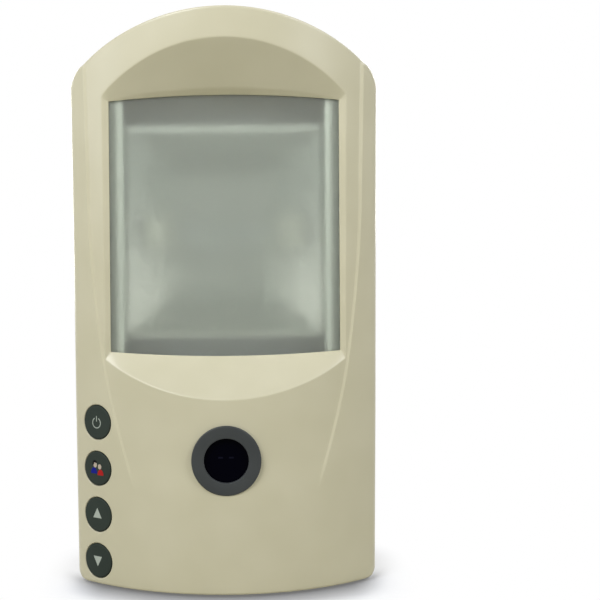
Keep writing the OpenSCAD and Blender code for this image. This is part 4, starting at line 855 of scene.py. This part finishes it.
# matt paper: pale grey close to the object with a painted shadow arc along its front, glowing white farther away
# and faintly even in the shade under the base, as painted light; shade is what it throws back at the object
def makeFloor():
    half = ground["half"] * mm
    mesh = bpy.data.meshes.new("floor")
    mesh.from_pydata([(-half, -half, 0), (half, -half, 0), (half, half, 0), (-half, half, 0)], [], [(0, 1, 2, 3)])
    floor = bpy.data.objects.new("floor", mesh)
    scene.collection.objects.link(floor)
    material, tree, place = newMaterial("paperFloor")
    box = [size * mm for size in ground["box"]]
    far = addNode(tree, "VectorMath", {0: place}, operation="ABSOLUTE")
    far = addNode(tree, "VectorMath", {0: far.outputs[0], 1: box}, operation="SUBTRACT")
    far = addNode(tree, "VectorMath", {0: far.outputs[0], 1: (0.0, 0.0, 0.0)}, operation="MAXIMUM")
    far = addNode(tree, "VectorMath", {0: far.outputs[0]}, operation="LENGTH")
    bow = addNode(tree, "VectorMath", {0: place, 1: (0.0, shell["bowMid"] * mm, 0.0)}, operation="DISTANCE")
    start, full = ground["arcRise"]
    rise = addNode(tree, "MapRange", {"Value": bow.outputs["Value"], "From Min": (shell["bowR"] + start) * mm,
                                      "From Max": (shell["bowR"] + full) * mm}, interpolation_type="SMOOTHSTEP")
    drop = addNode(tree, "MapRange", {"Value": bow.outputs["Value"], "From Min": shell["bowR"] * mm,
                                      "From Max": (shell["bowR"] + ground["arcFall"]) * mm,
                                      "To Min": rise.outputs[0], "To Max": 0.0})
    spot = addNode(tree, "SeparateXYZ", {"Vector": place})
    wide = addNode(tree, "Math", {0: spot.outputs["X"]}, operation="ABSOLUTE")
    start, full = ground["arcSide"]
    paintedShadowArc = addNode(tree, "MapRange", {"Value": wide.outputs[0], "From Min": start * mm, "From Max": full * mm,
                                     "To Min": drop.outputs[0], "To Max": 0.0}, interpolation_type="SMOOTHSTEP")
    start, full = ground["arcRear"]
    paintedShadowArc = addNode(tree, "MapRange", {"Value": spot.outputs["Y"], "From Min": start * mm, "From Max": full * mm,
                                     "To Min": paintedShadowArc.outputs[0], "To Max": 0.0})
    # painted shadow: the paper turns dark grey along the arc, and the white glow gives way there
    paintedShadowTint = addNode(tree, "MixRGB", {"Fac": paintedShadowArc.outputs[0], "Color1": linearColor("#f4f4f6"),
                                    "Color2": linearColor("#707072")})
    clear = addNode(tree, "Math", {0: 1.0, 1: paintedShadowArc.outputs[0]}, operation="SUBTRACT")
    start, full = ground["fade"]
    fade = addNode(tree, "MapRange", {"Value": far.outputs["Value"], "From Min": start * mm,
                                      "From Max": full * mm, "To Max": clear.outputs[0]},
                   interpolation_type="SMOOTHSTEP")
    # painted light: at least this much white glow everywhere, also in the shade under the base
    fade = addNode(tree, "Math", {0: fade.outputs[0], 1: ground["leastPaintedGlow"]}, operation="MAXIMUM")
    seen = seenRays(tree)
    blend = addNode(tree, "Math", {0: fade.outputs[0], 1: seen}, operation="MULTIPLY")
    paper = addNode(tree, "BsdfDiffuse", {"Color": paintedShadowTint.outputs[0]})
    shade = addNode(tree, "BsdfDiffuse", {"Color": linearColor("#ccc8b2")})
    white = addNode(tree, "Emission", {"Color": linearColor("#ffffff"), "Strength": 1.0})
    mix = addNode(tree, "MixShader", {"Fac": seen, 1: shade.outputs[0], 2: paper.outputs[0]})
    mix = addNode(tree, "MixShader", {"Fac": blend.outputs[0], 1: mix.outputs[0], 2: white.outputs[0]})
    addNode(tree, "OutputMaterial", {"Surface": mix.outputs[0]})
    mesh.materials.append(material)


# studio in metres: white to look at with a dim glow, soft lamps by place, size and power, camera a degree down
studio = dict(
    lens=64.13, sensor=36.0, nearest=0.01, place=(0.0, -0.8225, 0.25), pitch=-1.0, roll=0.442,
    shift=(0.1255, -0.0566), world=0.12, lampTint="#f6f9ff", aim=(0.0, 0.0, 0.22),
    lamps=[("key", (-0.5, -0.75, 1.0), 0.6, 9.3), ("leftEdge", (-1.2, -0.45, 0.62), 0.5, 2.3),
           ("leftBox", (-1.05, -0.95, 0.66), 0.5, 0.7), ("rightBox", (1.05, -0.95, 0.66), 0.5, 1.4),
           ("rightTop", (0.8, -0.6, 1.1), 0.7, 7.9),
           ("backLeft", (-0.8, 1.0, 0.5), 0.7, 7.2), ("backRight", (0.7, 1.1, 0.6), 0.7, 7.8)],
)


def makeStudio():
    world = bpy.data.worlds.new("studio")
    world.use_nodes = True
    scene.world = world
    tree = world.node_tree
    tree.nodes.clear()
    soft = addNode(tree, "Background", {"Color": linearColor("#ffffff"), "Strength": studio["world"]})
    white = addNode(tree, "Background", {"Color": linearColor("#ffffff"), "Strength": 1.0})
    mix = addNode(tree, "MixShader", {"Fac": seenRays(tree), 1: soft.outputs[0], 2: white.outputs[0]})
    addNode(tree, "OutputWorld", {"Surface": mix.outputs[0]})

    for name, place, size, power in studio["lamps"]:
        light = bpy.data.lights.new(name, "AREA")
        light.size = size
        light.energy = power
        light.color = linearColor(studio["lampTint"])[:3]
        lamp = bpy.data.objects.new(name, light)
        scene.collection.objects.link(lamp)
        aim = Vector(studio["aim"]) - Vector(place)
        lamp.rotation_euler = aim.to_track_quat("-Z", "Y").to_euler()
        lamp.location = place

    lens = bpy.data.cameras.new("camera")
    lens.lens = studio["lens"]
    lens.sensor_width = studio["sensor"]
    lens.shift_x, lens.shift_y = studio["shift"]
    lens.clip_start = studio["nearest"]
    camera = bpy.data.objects.new("camera", lens)
    scene.collection.objects.link(camera)
    camera.rotation_euler = np.radians([90 + studio["pitch"], studio["roll"], 0.0])
    camera.location = studio["place"]
    scene.camera = camera
    scene.view_settings.view_transform = "Standard"


makeFloor()
makeStudio()
print("studio made")
